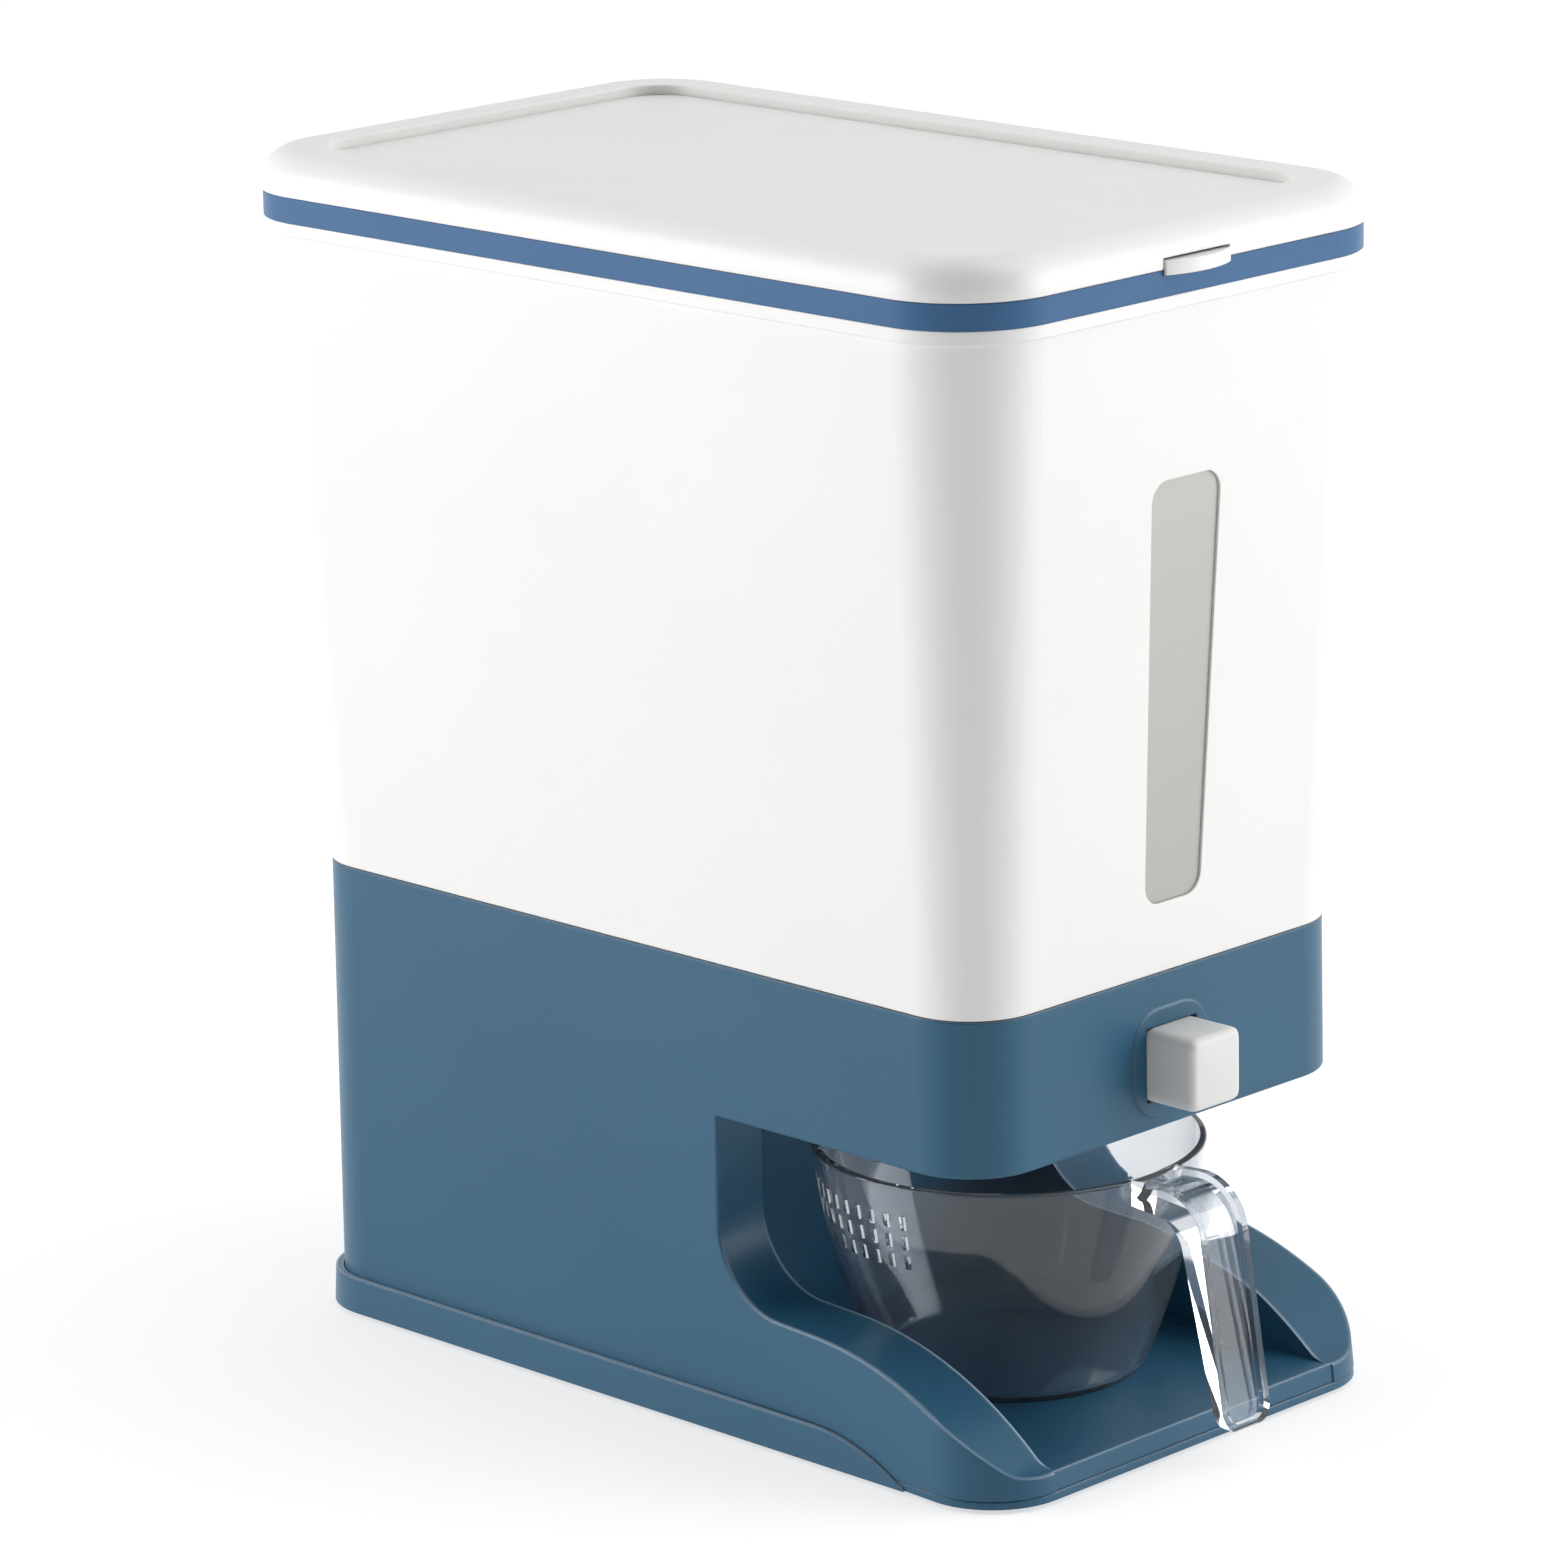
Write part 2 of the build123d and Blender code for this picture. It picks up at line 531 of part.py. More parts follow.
def make_bottom_plate():
    slab = block((-FAR, FAR), (-FAR, FAR), (FOOT_Z, FOOT_Z + PLATE))
    shell = tapered(PLINTH_TAPER, FOOT_Z, PLINTH_Z)
    skirt = (shell - tapered(STAND_TAPER, FOOT_Z - CUT, PLINTH_Z + CUT, -FIT)) & skirt_zone()
    rear = shell & skirt_zone() & slab
    front = stand_body(FIT) & slab
    plate = skirt + rear + front
    for x, y in pad_places():
        plate -= post(x, y, FOOT_Z - CUT, FOOT_Z + PAD_SUNK, PAD_RADIUS + FIT)
    for x, y in plate_boss_places():
        plate -= post(x, y, FOOT_Z - CUT, FOOT_Z + PLATE + CUT, SCREW_RADIUS + SCREW_HOLE_GAP)
    return plate


def pad_places():
    x = PLINTH_WIDTH / 2 - PAD_INSET_X
    return [(side * x, y) for side in (-1, 1) for y in (PLINTH_FRONT + PAD_INSET_Y, PLINTH_REAR - PAD_INSET_Y)]


def make_foot_pads():
    return Part() + [post(x, y, 0, FOOT_Z + PAD_SUNK, PAD_RADIUS) for x, y in pad_places()]


def make_plate_screws():
    return Part() + [screw(x, y, FOOT_Z, 1) for x, y in plate_boss_places()]


# Bin, window and hopper


def seat_slab(top_offset, thickness):
    """Sloped slab under the hopper's seat plane."""
    return SEAT_PLANE.offset(top_offset - thickness / 2) * Box(2 * FAR, 2 * FAR, thickness)


SEAT_PLANE = Plane(
    origin=(0, 0, SEAM_Z + HOPPER_RISE),
    x_dir=(1, 0, 0),
    z_dir=(0, -math.sin(math.radians(HOPPER_TILT)), math.cos(math.radians(HOPPER_TILT))),
)


def front_wall_plane():
    """Plane on the outside of the bin's front wall, at the middle of the window."""
    low, high = BIN_TAPER
    low_y = low[4] - low[2] / 2
    high_y = high[4] - high[2] / 2
    lean = (high_y - low_y) / (high[0] - low[0])
    middle = SEAM_Z + WINDOW_RISE + WINDOW_HEIGHT / 2
    angle = math.atan(lean)
    origin = (0, low_y + lean * (middle - low[0]), middle)
    return Plane(origin=origin, x_dir=(1, 0, 0), z_dir=(0, -math.cos(angle), math.sin(angle))), angle


def window_outline(grow):
    """Window shape, wider at its top, with round corners."""
    angle = front_wall_plane()[1]
    half = WINDOW_HEIGHT / 2 / math.cos(angle) + grow
    low = WINDOW_WIDTH_LOW / 2 + grow
    high = WINDOW_WIDTH_HIGH / 2 + grow
    outline = make_face(Polyline((-low, -half), (low, -half), (high, half), (-high, half), close=True))
    return fillet(outline.vertices(), WINDOW_CORNER + grow)


def make_bin():
    walls = tapered(BIN_TAPER, BIN_Z, RIM_Z)
    rim_plan = Pos(0, 0, RIM_Z - BEAD_HEIGHT) * RectangleRounded(RIM_WIDTH, RIM_LENGTH, RIM_CORNER)
    walls += prism(rim_plan, BEAD_HEIGHT)
    walls -= tapered(BIN_TAPER, BIN_Z - CUT, RIM_Z + CUT, WALL)

    inner = WALL + FIT + SPIGOT_WALL
    spigot_z = SEAM_Z - SPIGOT_DEPTH
    spigot = Pos(0, 0, spigot_z - SEAM_Z) * plan_at(STAND_TAPER, SEAM_Z, WALL + FIT)
    walls += prism(spigot, SPIGOT_DEPTH + SEAM_GAP + SHELF)
    shelf = Pos(0, 0, BIN_Z - SEAM_Z) * plan_at(BIN_TAPER, SEAM_Z, WALL / 2)
    walls += prism(shelf, SHELF)
    bore = Pos(0, 0, spigot_z - SEAM_Z - CUT) * plan_at(STAND_TAPER, SEAM_Z, inner)
    walls -= prism(bore, SPIGOT_DEPTH + SEAM_GAP + SHELF + 2 * CUT)
    return walls


def finish_bin(walls):
    band = tapered(BIN_TAPER, BIN_Z, RIM_Z, WALL / 2) - tapered(BIN_TAPER, BIN_Z, RIM_Z, WALL + LEDGE_WIDTH)
    walls += band & seat_slab(-HOPPER_PLATE, HOPPER_PLATE)
    for x, y in bin_boss_places():
        walls += post(x, y, BIN_LEDGE_Z, BIN_Z + SHELF, BIN_BOSS_RADIUS)
        walls -= post(x, y, BIN_LEDGE_Z - CUT, BIN_LEDGE_Z + SCREW_LENGTH, SCREW_RADIUS + RUN_FIT)
    plane, angle = front_wall_plane()
    walls -= extrude(plane * window_outline(0.0), amount=3 * WALL, both=True)
    return walls


def make_window():
    plane, angle = front_wall_plane()
    wall = WALL * math.cos(angle)
    plug = extrude(plane.offset(-wall) * window_outline(-WINDOW_FIT), amount=wall - WINDOW_SUNK)
    flange = extrude(plane.offset(-wall) * window_outline(WINDOW_FLANGE), amount=-WINDOW_FLANGE_THICKNESS)
    return plug + flange


def funnel(inner):
    """Ruled funnel from the neck up to the sloped seat; the outer one wraps the inner one."""
    spread = 0.0 if inner else NECK_WALL
    drop = 0.0 if inner else HOPPER_PLATE
    cos_tilt = math.cos(math.radians(HOPPER_TILT))
    front = HEAD_FRONT + FUNNEL_FRONT
    rear = HEAD_REAR - FUNNEL_REAR
    middle = (front + rear) / 2 / cos_tilt
    length = (rear - front) / cos_tilt
    width = SEAM_WIDTH - 2 * FUNNEL_SIDE
    low = Pos(0, OUTLET_Y, FUNNEL_Z - drop) * RectangleRounded(
        OUTLET_WIDTH + 2 * spread, OUTLET_LENGTH + 2 * spread, NECK_CORNER + spread
    )
    high = SEAT_PLANE.offset(-drop) * Pos(0, middle) * RectangleRounded(
        width + 2 * spread, length + 2 * spread, FUNNEL_CORNER + spread
    )
    return loft([low, high], ruled=True)


def make_hopper():
    plate = tapered(BIN_TAPER, BIN_Z, RIM_Z, WALL + FIT) & seat_slab(0.0, HOPPER_PLATE)
    outer = Pos(0, OUTLET_Y, NECK_Z) * RectangleRounded(
        OUTLET_WIDTH + 2 * NECK_WALL, OUTLET_LENGTH + 2 * NECK_WALL, NECK_CORNER + NECK_WALL
    )
    inner = Pos(0, OUTLET_Y, NECK_Z - CUT) * RectangleRounded(OUTLET_WIDTH, OUTLET_LENGTH, NECK_CORNER)
    hopper = plate + funnel(False) + prism(outer, NECK_HEIGHT - HOPPER_PLATE + SINK)
    return hopper - funnel(True) - prism(inner, NECK_HEIGHT + CUT)


def make_bin_screws():
    return Part() + [screw(x, y, BIN_LEDGE_Z - BIN_LEDGE, 1) for x, y in bin_boss_places()]


# Outlet mechanism


def make_chute():
    deck = block((-RAIL_OUTER, RAIL_OUTER), (RAIL_FRONT, RAIL_REAR), (DECK_Z, DECK_Z + CHUTE_PLATE))
    bore_x = OUTLET_WIDTH + 2 * CHUTE_MARGIN
    bore_y = OUTLET_LENGTH + 2 * CHUTE_MARGIN
    low = ROOF_Z - CHUTE_DROP
    nozzle = Pos(0, OUTLET_Y, low) * RectangleRounded(bore_x + 2 * CHUTE_WALL, bore_y + 2 * CHUTE_WALL, CHUTE_WALL)
    bore = Pos(0, OUTLET_Y, low - CUT) * Rectangle(bore_x, bore_y)
    chute = deck + prism(nozzle, DECK_Z + CHUTE_PLATE - low)
    return chute - prism(bore, DECK_Z + CHUTE_PLATE - low + 2 * CUT)


def make_slide_gate():
    plate = block((-GATE_WIDTH / 2, GATE_WIDTH / 2), (GATE_FRONT, GATE_REAR + TAB), (GATE_Z, GATE_Z + GATE))
    plug_front = HEAD_FRONT - BUTTON_PROUD + BUTTON_FACE
    stem_half = STEM_WIDTH / 2
    plug_half = BUTTON_WIDTH / 2 - BUTTON_WALL - PLUG_FIT
    plug_low = BUTTON_Z + BUTTON_WALL + PLUG_FIT
    riser_rear = RAIL_FRONT - TRAVEL - 2 * FIT
    riser_front = riser_rear - TAB
    stem = block((-stem_half, stem_half), (riser_front, GATE_FRONT + SINK), (GATE_Z, GATE_Z + GATE))
    stem += block((-stem_half, stem_half), (riser_front, riser_rear), (GATE_Z, plug_low + GATE))
    stem += block((-stem_half, stem_half), (plug_front, riser_rear), (plug_low, plug_low + GATE))
    plug_high = BUTTON_Z + BUTTON_HEIGHT - BUTTON_WALL - PLUG_FIT
    plug = block((-plug_half, plug_half), (plug_front, plug_front + PLUG_LENGTH), (plug_low, plug_high))
    web = block((-GATE / 2, GATE / 2), (plug_front, plug_front + 3 * PLUG_LENGTH), (plug_low, plug_high - PLUG_LENGTH))
    tab = block((-stem_half, stem_half), (GATE_REAR, GATE_REAR + TAB), (GATE_Z, GATE_Z + TAB_HEIGHT))
    tab += spring_spigot(SPRING_FRONT)
    gate = plate + stem + plug + web + tab
    port = block((-OUTLET_WIDTH / 2, OUTLET_WIDTH / 2),
                 (PORT_Y - OUTLET_LENGTH / 2, PORT_Y + OUTLET_LENGTH / 2),
                 (GATE_Z - CUT, GATE_Z + GATE + CUT))
    return gate - port


def spring_spigot(y):
    """Peg that keeps one end of the spring in place; y is the face that it stands on."""
    toward = 1 if y == SPRING_FRONT else -1
    return Pos(0, y + toward * SPIGOT_LENGTH / 2, SPRING_Z) * Rot(90, 0, 0) * Cylinder(SPIGOT_RADIUS, SPIGOT_LENGTH)


def make_gate_housing():
    top = COVER_Z + HOUSING_PLATE
    rails = [block((side * RAIL_INNER, side * RAIL_OUTER) if side > 0 else (-RAIL_OUTER, -RAIL_INNER),
                   (RAIL_FRONT, RAIL_REAR), (DECK_Z + CHUTE_PLATE, top)) for side in (-1, 1)]
    seal_half_y = OUTLET_LENGTH / 2 + SEAL_MARGIN + FIT
    cover_rear = GATE_REAR - 2 * FIT
    cover = block((-RAIL_OUTER, RAIL_OUTER), (RAIL_FRONT, cover_rear), (COVER_Z, top))
    rear = block((-RAIL_OUTER, RAIL_OUTER), (SPRING_REAR, RAIL_REAR), (DECK_Z + CHUTE_PLATE, GATE_Z + TAB_HEIGHT))
    housing = rails[0] + rails[1] + cover + rear + spring_spigot(SPRING_REAR)
    for x, y in housing_places():
        inner = math.copysign(RAIL_INNER, x)
        housing += block((min(inner, x), max(inner, x)), (y - EAR_RADIUS, y + EAR_RADIUS), (EAR_Z, top))
        housing += post(x, y, EAR_Z, top, EAR_RADIUS)
    for x, y in housing_places():
        housing -= post(x, y, EAR_Z - CUT, top + CUT, SCREW_RADIUS + SCREW_HOLE_GAP)
    seal_half_x = OUTLET_WIDTH / 2 + SEAL_MARGIN + FIT
    housing -= block((-seal_half_x, seal_half_x), (OUTLET_Y - seal_half_y, OUTLET_Y + seal_half_y),
                     (COVER_Z - CUT, top + CUT))
    return housing


def make_housing_screws():
    top = COVER_Z + HOUSING_PLATE
    short = top - DECK_Z - SCREW_HEAD
    screws = []
    for x, y in housing_places():
        screws.append(post(x, y, top - short, top, SCREW_RADIUS) + post(x, y, top, top + SCREW_HEAD, SCREW_HEAD_RADIUS))
    return Part() + screws


def make_outlet_seal():
    outer = Rectangle(OUTLET_WIDTH + 2 * SEAL_MARGIN, OUTLET_LENGTH + 2 * SEAL_MARGIN)
    frame = outer - Rectangle(OUTLET_WIDTH, OUTLET_LENGTH)
    return prism(Pos(0, OUTLET_Y, COVER_Z) * frame, NECK_Z - COVER_Z)


def make_button():
    half = BUTTON_WIDTH / 2
    front = HEAD_FRONT - BUTTON_PROUD
    flange_front = HEAD_FRONT + WALL + FIT
    back = flange_front + BUTTON_WALL
    cap = block((-half, half), (front, back), (BUTTON_Z, BUTTON_Z + BUTTON_HEIGHT))
    long_edges = cap.edges().filter_by(Axis.Y)
    front_edges = cap.faces().sort_by(Axis.Y)[0].edges()
    cap = fillet(long_edges + front_edges, BUTTON_EDGE)
    cap += block((-half - BUTTON_FLANGE, half + BUTTON_FLANGE), (flange_front, back),
                 (BUTTON_Z + BUTTON_EDGE, BUTTON_Z + BUTTON_HEIGHT + BUTTON_FLANGE))
    cap -= block((-half + BUTTON_WALL, half - BUTTON_WALL), (front + BUTTON_FACE, back + CUT),
                 (BUTTON_Z + BUTTON_WALL, BUTTON_Z + BUTTON_HEIGHT - BUTTON_WALL))
    return cap


def helix_frame(turn, pitch):
    """Point and direction on the spring's centre line after so many turns."""
    angle = 2 * math.pi * turn
    point = Vector(SPRING_RADIUS * math.cos(angle), SPRING_RADIUS * math.sin(angle), pitch * turn)
    along = 2 * math.pi * SPRING_RADIUS
    direction = Vector(-along * math.sin(angle), along * math.cos(angle), pitch).normalized()
    return point, direction


def biarc(start, start_dir, end, end_dir):
    """Two arcs that join two points smoothly in the given directions."""
    chord = end - start
    both = start_dir + end_dir
    spread = 2 * (1 - start_dir.dot(end_dir))
    reach = (math.sqrt(chord.dot(both) ** 2 + spread * chord.dot(chord)) - chord.dot(both)) / spread
    near = start + start_dir * reach
    far = end - end_dir * reach
    joint = (near + far) / 2
    joint_dir = (far - near).normalized()
    return [Edge.make_tangent_arc(start, start_dir, joint), Edge.make_tangent_arc(joint, joint_dir, end)]


def make_return_spring():
    span = SPRING_LENGTH - 2 * SPRING_WIRE - 2 * RUN_FIT
    pitch = span / SPRING_TURNS
    arcs = []
    for half_turn in range(2 * SPRING_TURNS):
        start, start_dir = helix_frame(half_turn / 2, pitch)
        end, end_dir = helix_frame((half_turn + 1) / 2, pitch)
        arcs += biarc(start, start_dir, end, end_dir)
    first, first_dir = helix_frame(0, pitch)
    coil = sweep(Plane(origin=first, z_dir=first_dir) * Circle(SPRING_WIRE), path=Wire(arcs))
    print("spring: least gap between turns", round(pitch - 2 * SPRING_WIRE, 2))
    place = Plane(origin=(0, SPRING_FRONT + SPRING_WIRE + RUN_FIT, SPRING_Z), x_dir=(1, 0, 0), z_dir=(0, 1, 0))
    return place * coil


# Collar, lid and catch


def rim_plan(inset, z):
    outline = RectangleRounded(RIM_WIDTH - 2 * inset, RIM_LENGTH - 2 * inset, RIM_CORNER - inset)
    return Pos(0, 0, z) * outline


def ring(outer_inset, inner_inset, z_low, z_high):
    """Frame between two insets from the rim's outline."""
    return prism(rim_plan(outer_inset, z_low) - rim_plan(inner_inset, z_low), z_high - z_low)


def hinge_spans():
    """For each hinge: the knuckle's span and the two ears' spans along X."""
    half = KNUCKLE_WIDTH / 2
    spans = []
    for middle in (-HINGE_X, HINGE_X):
        knuckle = (middle - half, middle + half)
        left = (middle - half - HINGE_GAP - EAR_WIDTH, middle - half - HINGE_GAP)
        right = (middle + half + HINGE_GAP, middle + half + HINGE_GAP + EAR_WIDTH)
        spans.append((knuckle, left, right))
    return spans


def make_collar():
    collar = ring(0, COLLAR_BAND, RIM_Z, COLLAR_Z)
    collar += ring(0, COLLAR_WIDTH, COLLAR_Z - COLLAR_PLATE, COLLAR_Z)
    collar += ring(COLLAR_WIDTH - COLLAR_LIP, COLLAR_WIDTH, COLLAR_Z - COLLAR_SKIRT, COLLAR_Z)
    lip_z = RIM_Z - COLLAR_LIP_DEPTH
    lip = plan_at(BIN_TAPER, lip_z, WALL + FIT) - plan_at(BIN_TAPER, lip_z, WALL + FIT + COLLAR_LIP)
    collar += prism(lip, COLLAR_LIP_DEPTH + SINK)
    rear = RIM_LENGTH / 2
    for knuckle, left, right in hinge_spans():
        for span in (left, right):
            collar += block(span, (rear - SINK, HINGE_Y), (COLLAR_Z - COLLAR_SKIRT, COLLAR_Z - LID_GAP))
            collar += cross_rod(HINGE_Y, HINGE_Z, span[0], span[1], KNUCKLE_RADIUS)
            collar -= cross_rod(HINGE_Y, HINGE_Z, span[0] - CUT, span[1] + CUT, HINGE_PIN_RADIUS + RUN_FIT)
    front = -RIM_LENGTH / 2
    groove_half = CATCH_WIDTH / 2
    nib_low = COLLAR_Z - CATCH_LOW
    collar -= block((-groove_half, groove_half), (front - CUT, front + GROOVE_DEPTH),
                    (nib_low - FIT, nib_low + NIB_HEIGHT + FIT))
    return collar


def make_hinge_pins():
    pins = [cross_rod(HINGE_Y, HINGE_Z, left[0], right[1], HINGE_PIN_RADIUS) for knuckle, left, right in hinge_spans()]
    return Part() + pins


def panel_plan(inset):
    """Outline of the lid's sunk panel, drawn in by inset."""
    edge = PANEL_INSET + inset
    return RectangleRounded(RIM_WIDTH - 2 * edge, RIM_LENGTH - 2 * edge, PANEL_CORNER - inset)


def make_lid():
    lid = prism(rim_plan(-LID_OVERHANG, LID_Z), LID_TOP - LID_Z)
    lid = fillet(lid.faces().sort_by(Axis.Z)[-1].edges(), LID_ROUND)
    panel_z = LID_TOP - PANEL_DEPTH
    panel = panel_plan(0.0)
    lid -= prism(Pos(0, 0, panel_z) * panel, PANEL_DEPTH + CUT)
    flat_rim = lid.faces().sort_by(Axis.Z)[-1]
    lid = fillet(flat_rim.inner_wires()[0].edges(), PANEL_EDGE)
    groove = panel - panel_plan(PANEL_GROOVE)
    lid -= prism(Pos(0, 0, panel_z - PANEL_GROOVE) * groove, PANEL_GROOVE + CUT)
    ceiling = panel_z - LID_SKIN
    lid -= prism(rim_plan(LID_WALL - LID_OVERHANG, LID_Z - CUT), ceiling - LID_Z + CUT)
    lid += ring(GASKET_INSET - RIB_FIT - RIB, GASKET_INSET - RIB_FIT, ceiling - RIB_DEPTH, ceiling + SINK)
    inner = GASKET_INSET + GASKET_WIDTH + RIB_FIT
    lid += ring(inner, inner + RIB, ceiling - RIB_DEPTH, ceiling + SINK)

    lid_rear = RIM_LENGTH / 2 + LID_OVERHANG
    for knuckle, left, right in hinge_spans():
        lid += block(knuckle, (lid_rear - LID_WALL / 2, HINGE_Y), (LID_Z, HINGE_Z + KNUCKLE_RADIUS / 2))
        lid += cross_rod(HINGE_Y, HINGE_Z, knuckle[0], knuckle[1], KNUCKLE_RADIUS)
        lid -= cross_rod(HINGE_Y, HINGE_Z, knuckle[0] - CUT, knuckle[1] + CUT, HINGE_PIN_RADIUS + RUN_FIT)

    notch = CATCH_WIDTH / 2 + NOTCH_GAP
    lid -= block((-notch, notch), (-FAR, CATCH_Y + LID_WALL), (LID_Z - CUT, COLLAR_Z + CATCH_HIGH + 2 * NOTCH_GAP))
    seat = notch + CATCH_PIN_SEAT
    lid -= cross_rod(CATCH_Y, CATCH_Z, -seat, seat, CATCH_PIN_RADIUS + RUN_FIT)
    return lid


def make_lid_gasket():
    ceiling = LID_TOP - PANEL_DEPTH - LID_SKIN
    return ring(GASKET_INSET, GASKET_INSET + GASKET_WIDTH, LID_Z, ceiling)


def make_lid_catch():
    half = CATCH_WIDTH / 2
    inner = -RIM_LENGTH / 2 - FIT
    end = -RIM_LENGTH / 2 - LID_OVERHANG - CATCH_EDGE
    bow = ThreePointArc((-half, end), (0, end - CATCH_BOW), (half, end))
    outline = make_face([bow, Polyline((half, end), (half, inner), (-half, inner), (-half, end))])
    low = COLLAR_Z - CATCH_LOW
    high = COLLAR_Z + CATCH_HIGH
    tab = prism(Pos(0, 0, low) * outline, high - low)
    outer_face = tab.faces().sort_by(Axis.Y)[0]
    tab = fillet(outer_face.edges(), CATCH_EDGE / 2)
    tab += cross_rod(CATCH_Y, CATCH_Z, -half, half, CATCH_BARREL)
    tab += block((-half, half), (inner, CATCH_Y), (CATCH_Z - CATCH_BARREL, CATCH_Z + CATCH_BARREL))
    nib_half = half - NIB_INSET
    tab += block((-nib_half, nib_half), (inner - CATCH_EDGE / 2, inner + FIT + NIB), (low, low + NIB_HEIGHT))
    return tab - cross_rod(CATCH_Y, CATCH_Z, -half - CUT, half + CUT, CATCH_PIN_RADIUS + RUN_FIT)


def make_catch_pin():
    seat = CATCH_WIDTH / 2 + NOTCH_GAP + CATCH_PIN_SEAT
    return cross_rod(CATCH_Y, CATCH_Z, -seat + FIT, seat - FIT, CATCH_PIN_RADIUS)


# Cup


def cup_bowl(shrink, floor):
    """Bowl of revolution; shrink draws its wall in and floor lifts its base."""
    top = CUP_HEIGHT + (CUT if shrink else 0)
    base = CUP_BASE_RADIUS - shrink
    wall = ThreePointArc((base, floor), (CUP_MID_RADIUS - shrink, CUP_MID_HEIGHT), (CUP_RIM_RADIUS - shrink, top))
    rest = Polyline((CUP_RIM_RADIUS - shrink, top), (0, top), (0, floor), (base, floor))
    outline = make_face([wall, rest])
    corner = outline.vertices().sort_by_distance((base, floor, 0))[0]
    outline = fillet(corner, CUP_FOOT_ROUND - shrink / 2)
    if not shrink:
        rim = outline.vertices().sort_by_distance((CUP_RIM_RADIUS, top, 0))[0]
        outline = fillet(rim, min(CUP_LIP, CUP_WALL * 0.8))
    return revolve(Plane.XZ * outline, axis=Axis.Z)


def handle_profile(sunk=0.0):
    """Side view of the strap handle, out over the shoulder and down to its free end.

    With sunk, the outer line lies that far inside the strap and the rest reaches out past it,
    which is the side view of the channel's cutter.
    """
    root = -CUP_RIM_RADIUS + CUP_WALL / 2
    shoulder = -CUP_RIM_RADIUS - HANDLE_SHOULDER + sunk
    reach = -CUP_RIM_RADIUS - HANDLE_REACH + sunk
    crest = HANDLE_CREST - sunk
    outer_top = (shoulder, crest)
    outer_end = (reach, HANDLE_END)
    if sunk:
        root -= HANDLE_BORDER + CUP_WALL
        past = (reach - HANDLE_REACH, HANDLE_END)
        points = [(root, crest - HANDLE_FALL), outer_top, outer_end, past, (past[0], CUP_HEIGHT + BAY_HEIGHT)]
        points.append((root, CUP_HEIGHT + BAY_HEIGHT))
        rounds = [(outer_top, HANDLE_OUTER_ROUND - sunk)]
    else:
        inner_end = (reach + HANDLE_DEPTH_END, HANDLE_END)
        inner_top = (shoulder + HANDLE_DEPTH_TOP, crest - HANDLE_ROOT_DEPTH - HANDLE_FALL)
        points = [(root, crest - HANDLE_FALL), outer_top, outer_end, inner_end, inner_top]
        points.append((root, crest - HANDLE_ROOT_DEPTH))
        rounds = [
            (outer_top, HANDLE_OUTER_ROUND),
            (inner_top, HANDLE_INNER_ROUND),
            (outer_end, HANDLE_TIP),
            (inner_end, HANDLE_TIP),
        ]
    outline = make_face(Polyline(*points, close=True))
    for point, radius in rounds:
        outline = fillet(outline.vertices().sort_by_distance((*point, 0))[0], radius)
    return outline


def handle_front(inset):
    """Front view of the strap, drawn in by inset, as a body along Y with a round lower end."""
    half = HANDLE_WIDTH / 2 - inset
    low = HANDLE_END + inset
    high = HANDLE_CREST + BAY_HEIGHT
    outline = make_face(Polyline((-half, low), (half, low), (half, high), (-half, high), close=True))
    outline = fillet(outline.vertices().sort_by(Axis.Y)[:2], HANDLE_END_CORNER - inset)
    return extrude(Plane.XZ * outline, amount=FAR)


def drain_slots():
    """Columns of upright slots under the rim, in the left side of the cup."""
    slots = []
    for column in range(SLOT_COLUMNS):
        turn = SLOT_MIDDLE + (column - (SLOT_COLUMNS - 1) / 2) * SLOT_SPACING
        for row in range(SLOT_ROWS):
            z = CUP_HEIGHT - SLOT_DROP - row * SLOT_PITCH
            slot = Rot(0, 0, turn) * Pos(CUP_RIM_RADIUS, 0, z)
            slots.append(slot * Box(SLOT_REACH, SLOT_WIDTH, SLOT_HEIGHT))
    return Part() + slots


def make_cup():
    half = HANDLE_WIDTH / 2
    strap = extrude(Plane.YZ.offset(-half) * handle_profile(), amount=HANDLE_WIDTH) & handle_front(0.0)
    channel = extrude(Plane.YZ.offset(-half) * handle_profile(HANDLE_CHANNEL), amount=HANDLE_WIDTH)
    strap -= channel & handle_front(HANDLE_BORDER)
    cup = cup_bowl(0.0, 0.0) + strap - cup_bowl(CUP_WALL, CUP_FLOOR)
    return Pos(0, CUP_Y, CUP_Z) * (cup - drain_slots())


def build_parts():
    return {
        "stand": make_stand(),
        "bottom_plate": make_bottom_plate(),
        "foot_pads": make_foot_pads(),
        "plate_screws": make_plate_screws(),
        "bin": finish_bin(make_bin()),
        "window": make_window(),
        "hopper": make_hopper(),
        "bin_screws": make_bin_screws(),
        "chute": make_chute(),
        "slide_gate": make_slide_gate(),
        "gate_housing": make_gate_housing(),
        "housing_screws": make_housing_screws(),
        "outlet_seal": make_outlet_seal(),
        "return_spring": make_return_spring(),
        "button": make_button(),
        "collar": make_collar(),
        "hinge_pins": make_hinge_pins(),
        "lid": make_lid(),
        "lid_gasket": make_lid_gasket(),
        "lid_catch": make_lid_catch(),
        "catch_pin": make_catch_pin(),
        "cup": make_cup(),
    }


# The origin is on the floor, under the middle of the whole outline
parts = build_parts()
box = Compound(children=[Compound(part.solids()) for part in parts.values()]).bounding_box()
home = Pos(0, -(box.min.Y + box.max.Y) / 2, 0)
print("moved along Y to the middle of the outline by", round(home.position.Y, 4))
os.makedirs("parts", exist_ok=True)
for name, part in parts.items():
    export_step(home * part, f"parts/{name}.step")
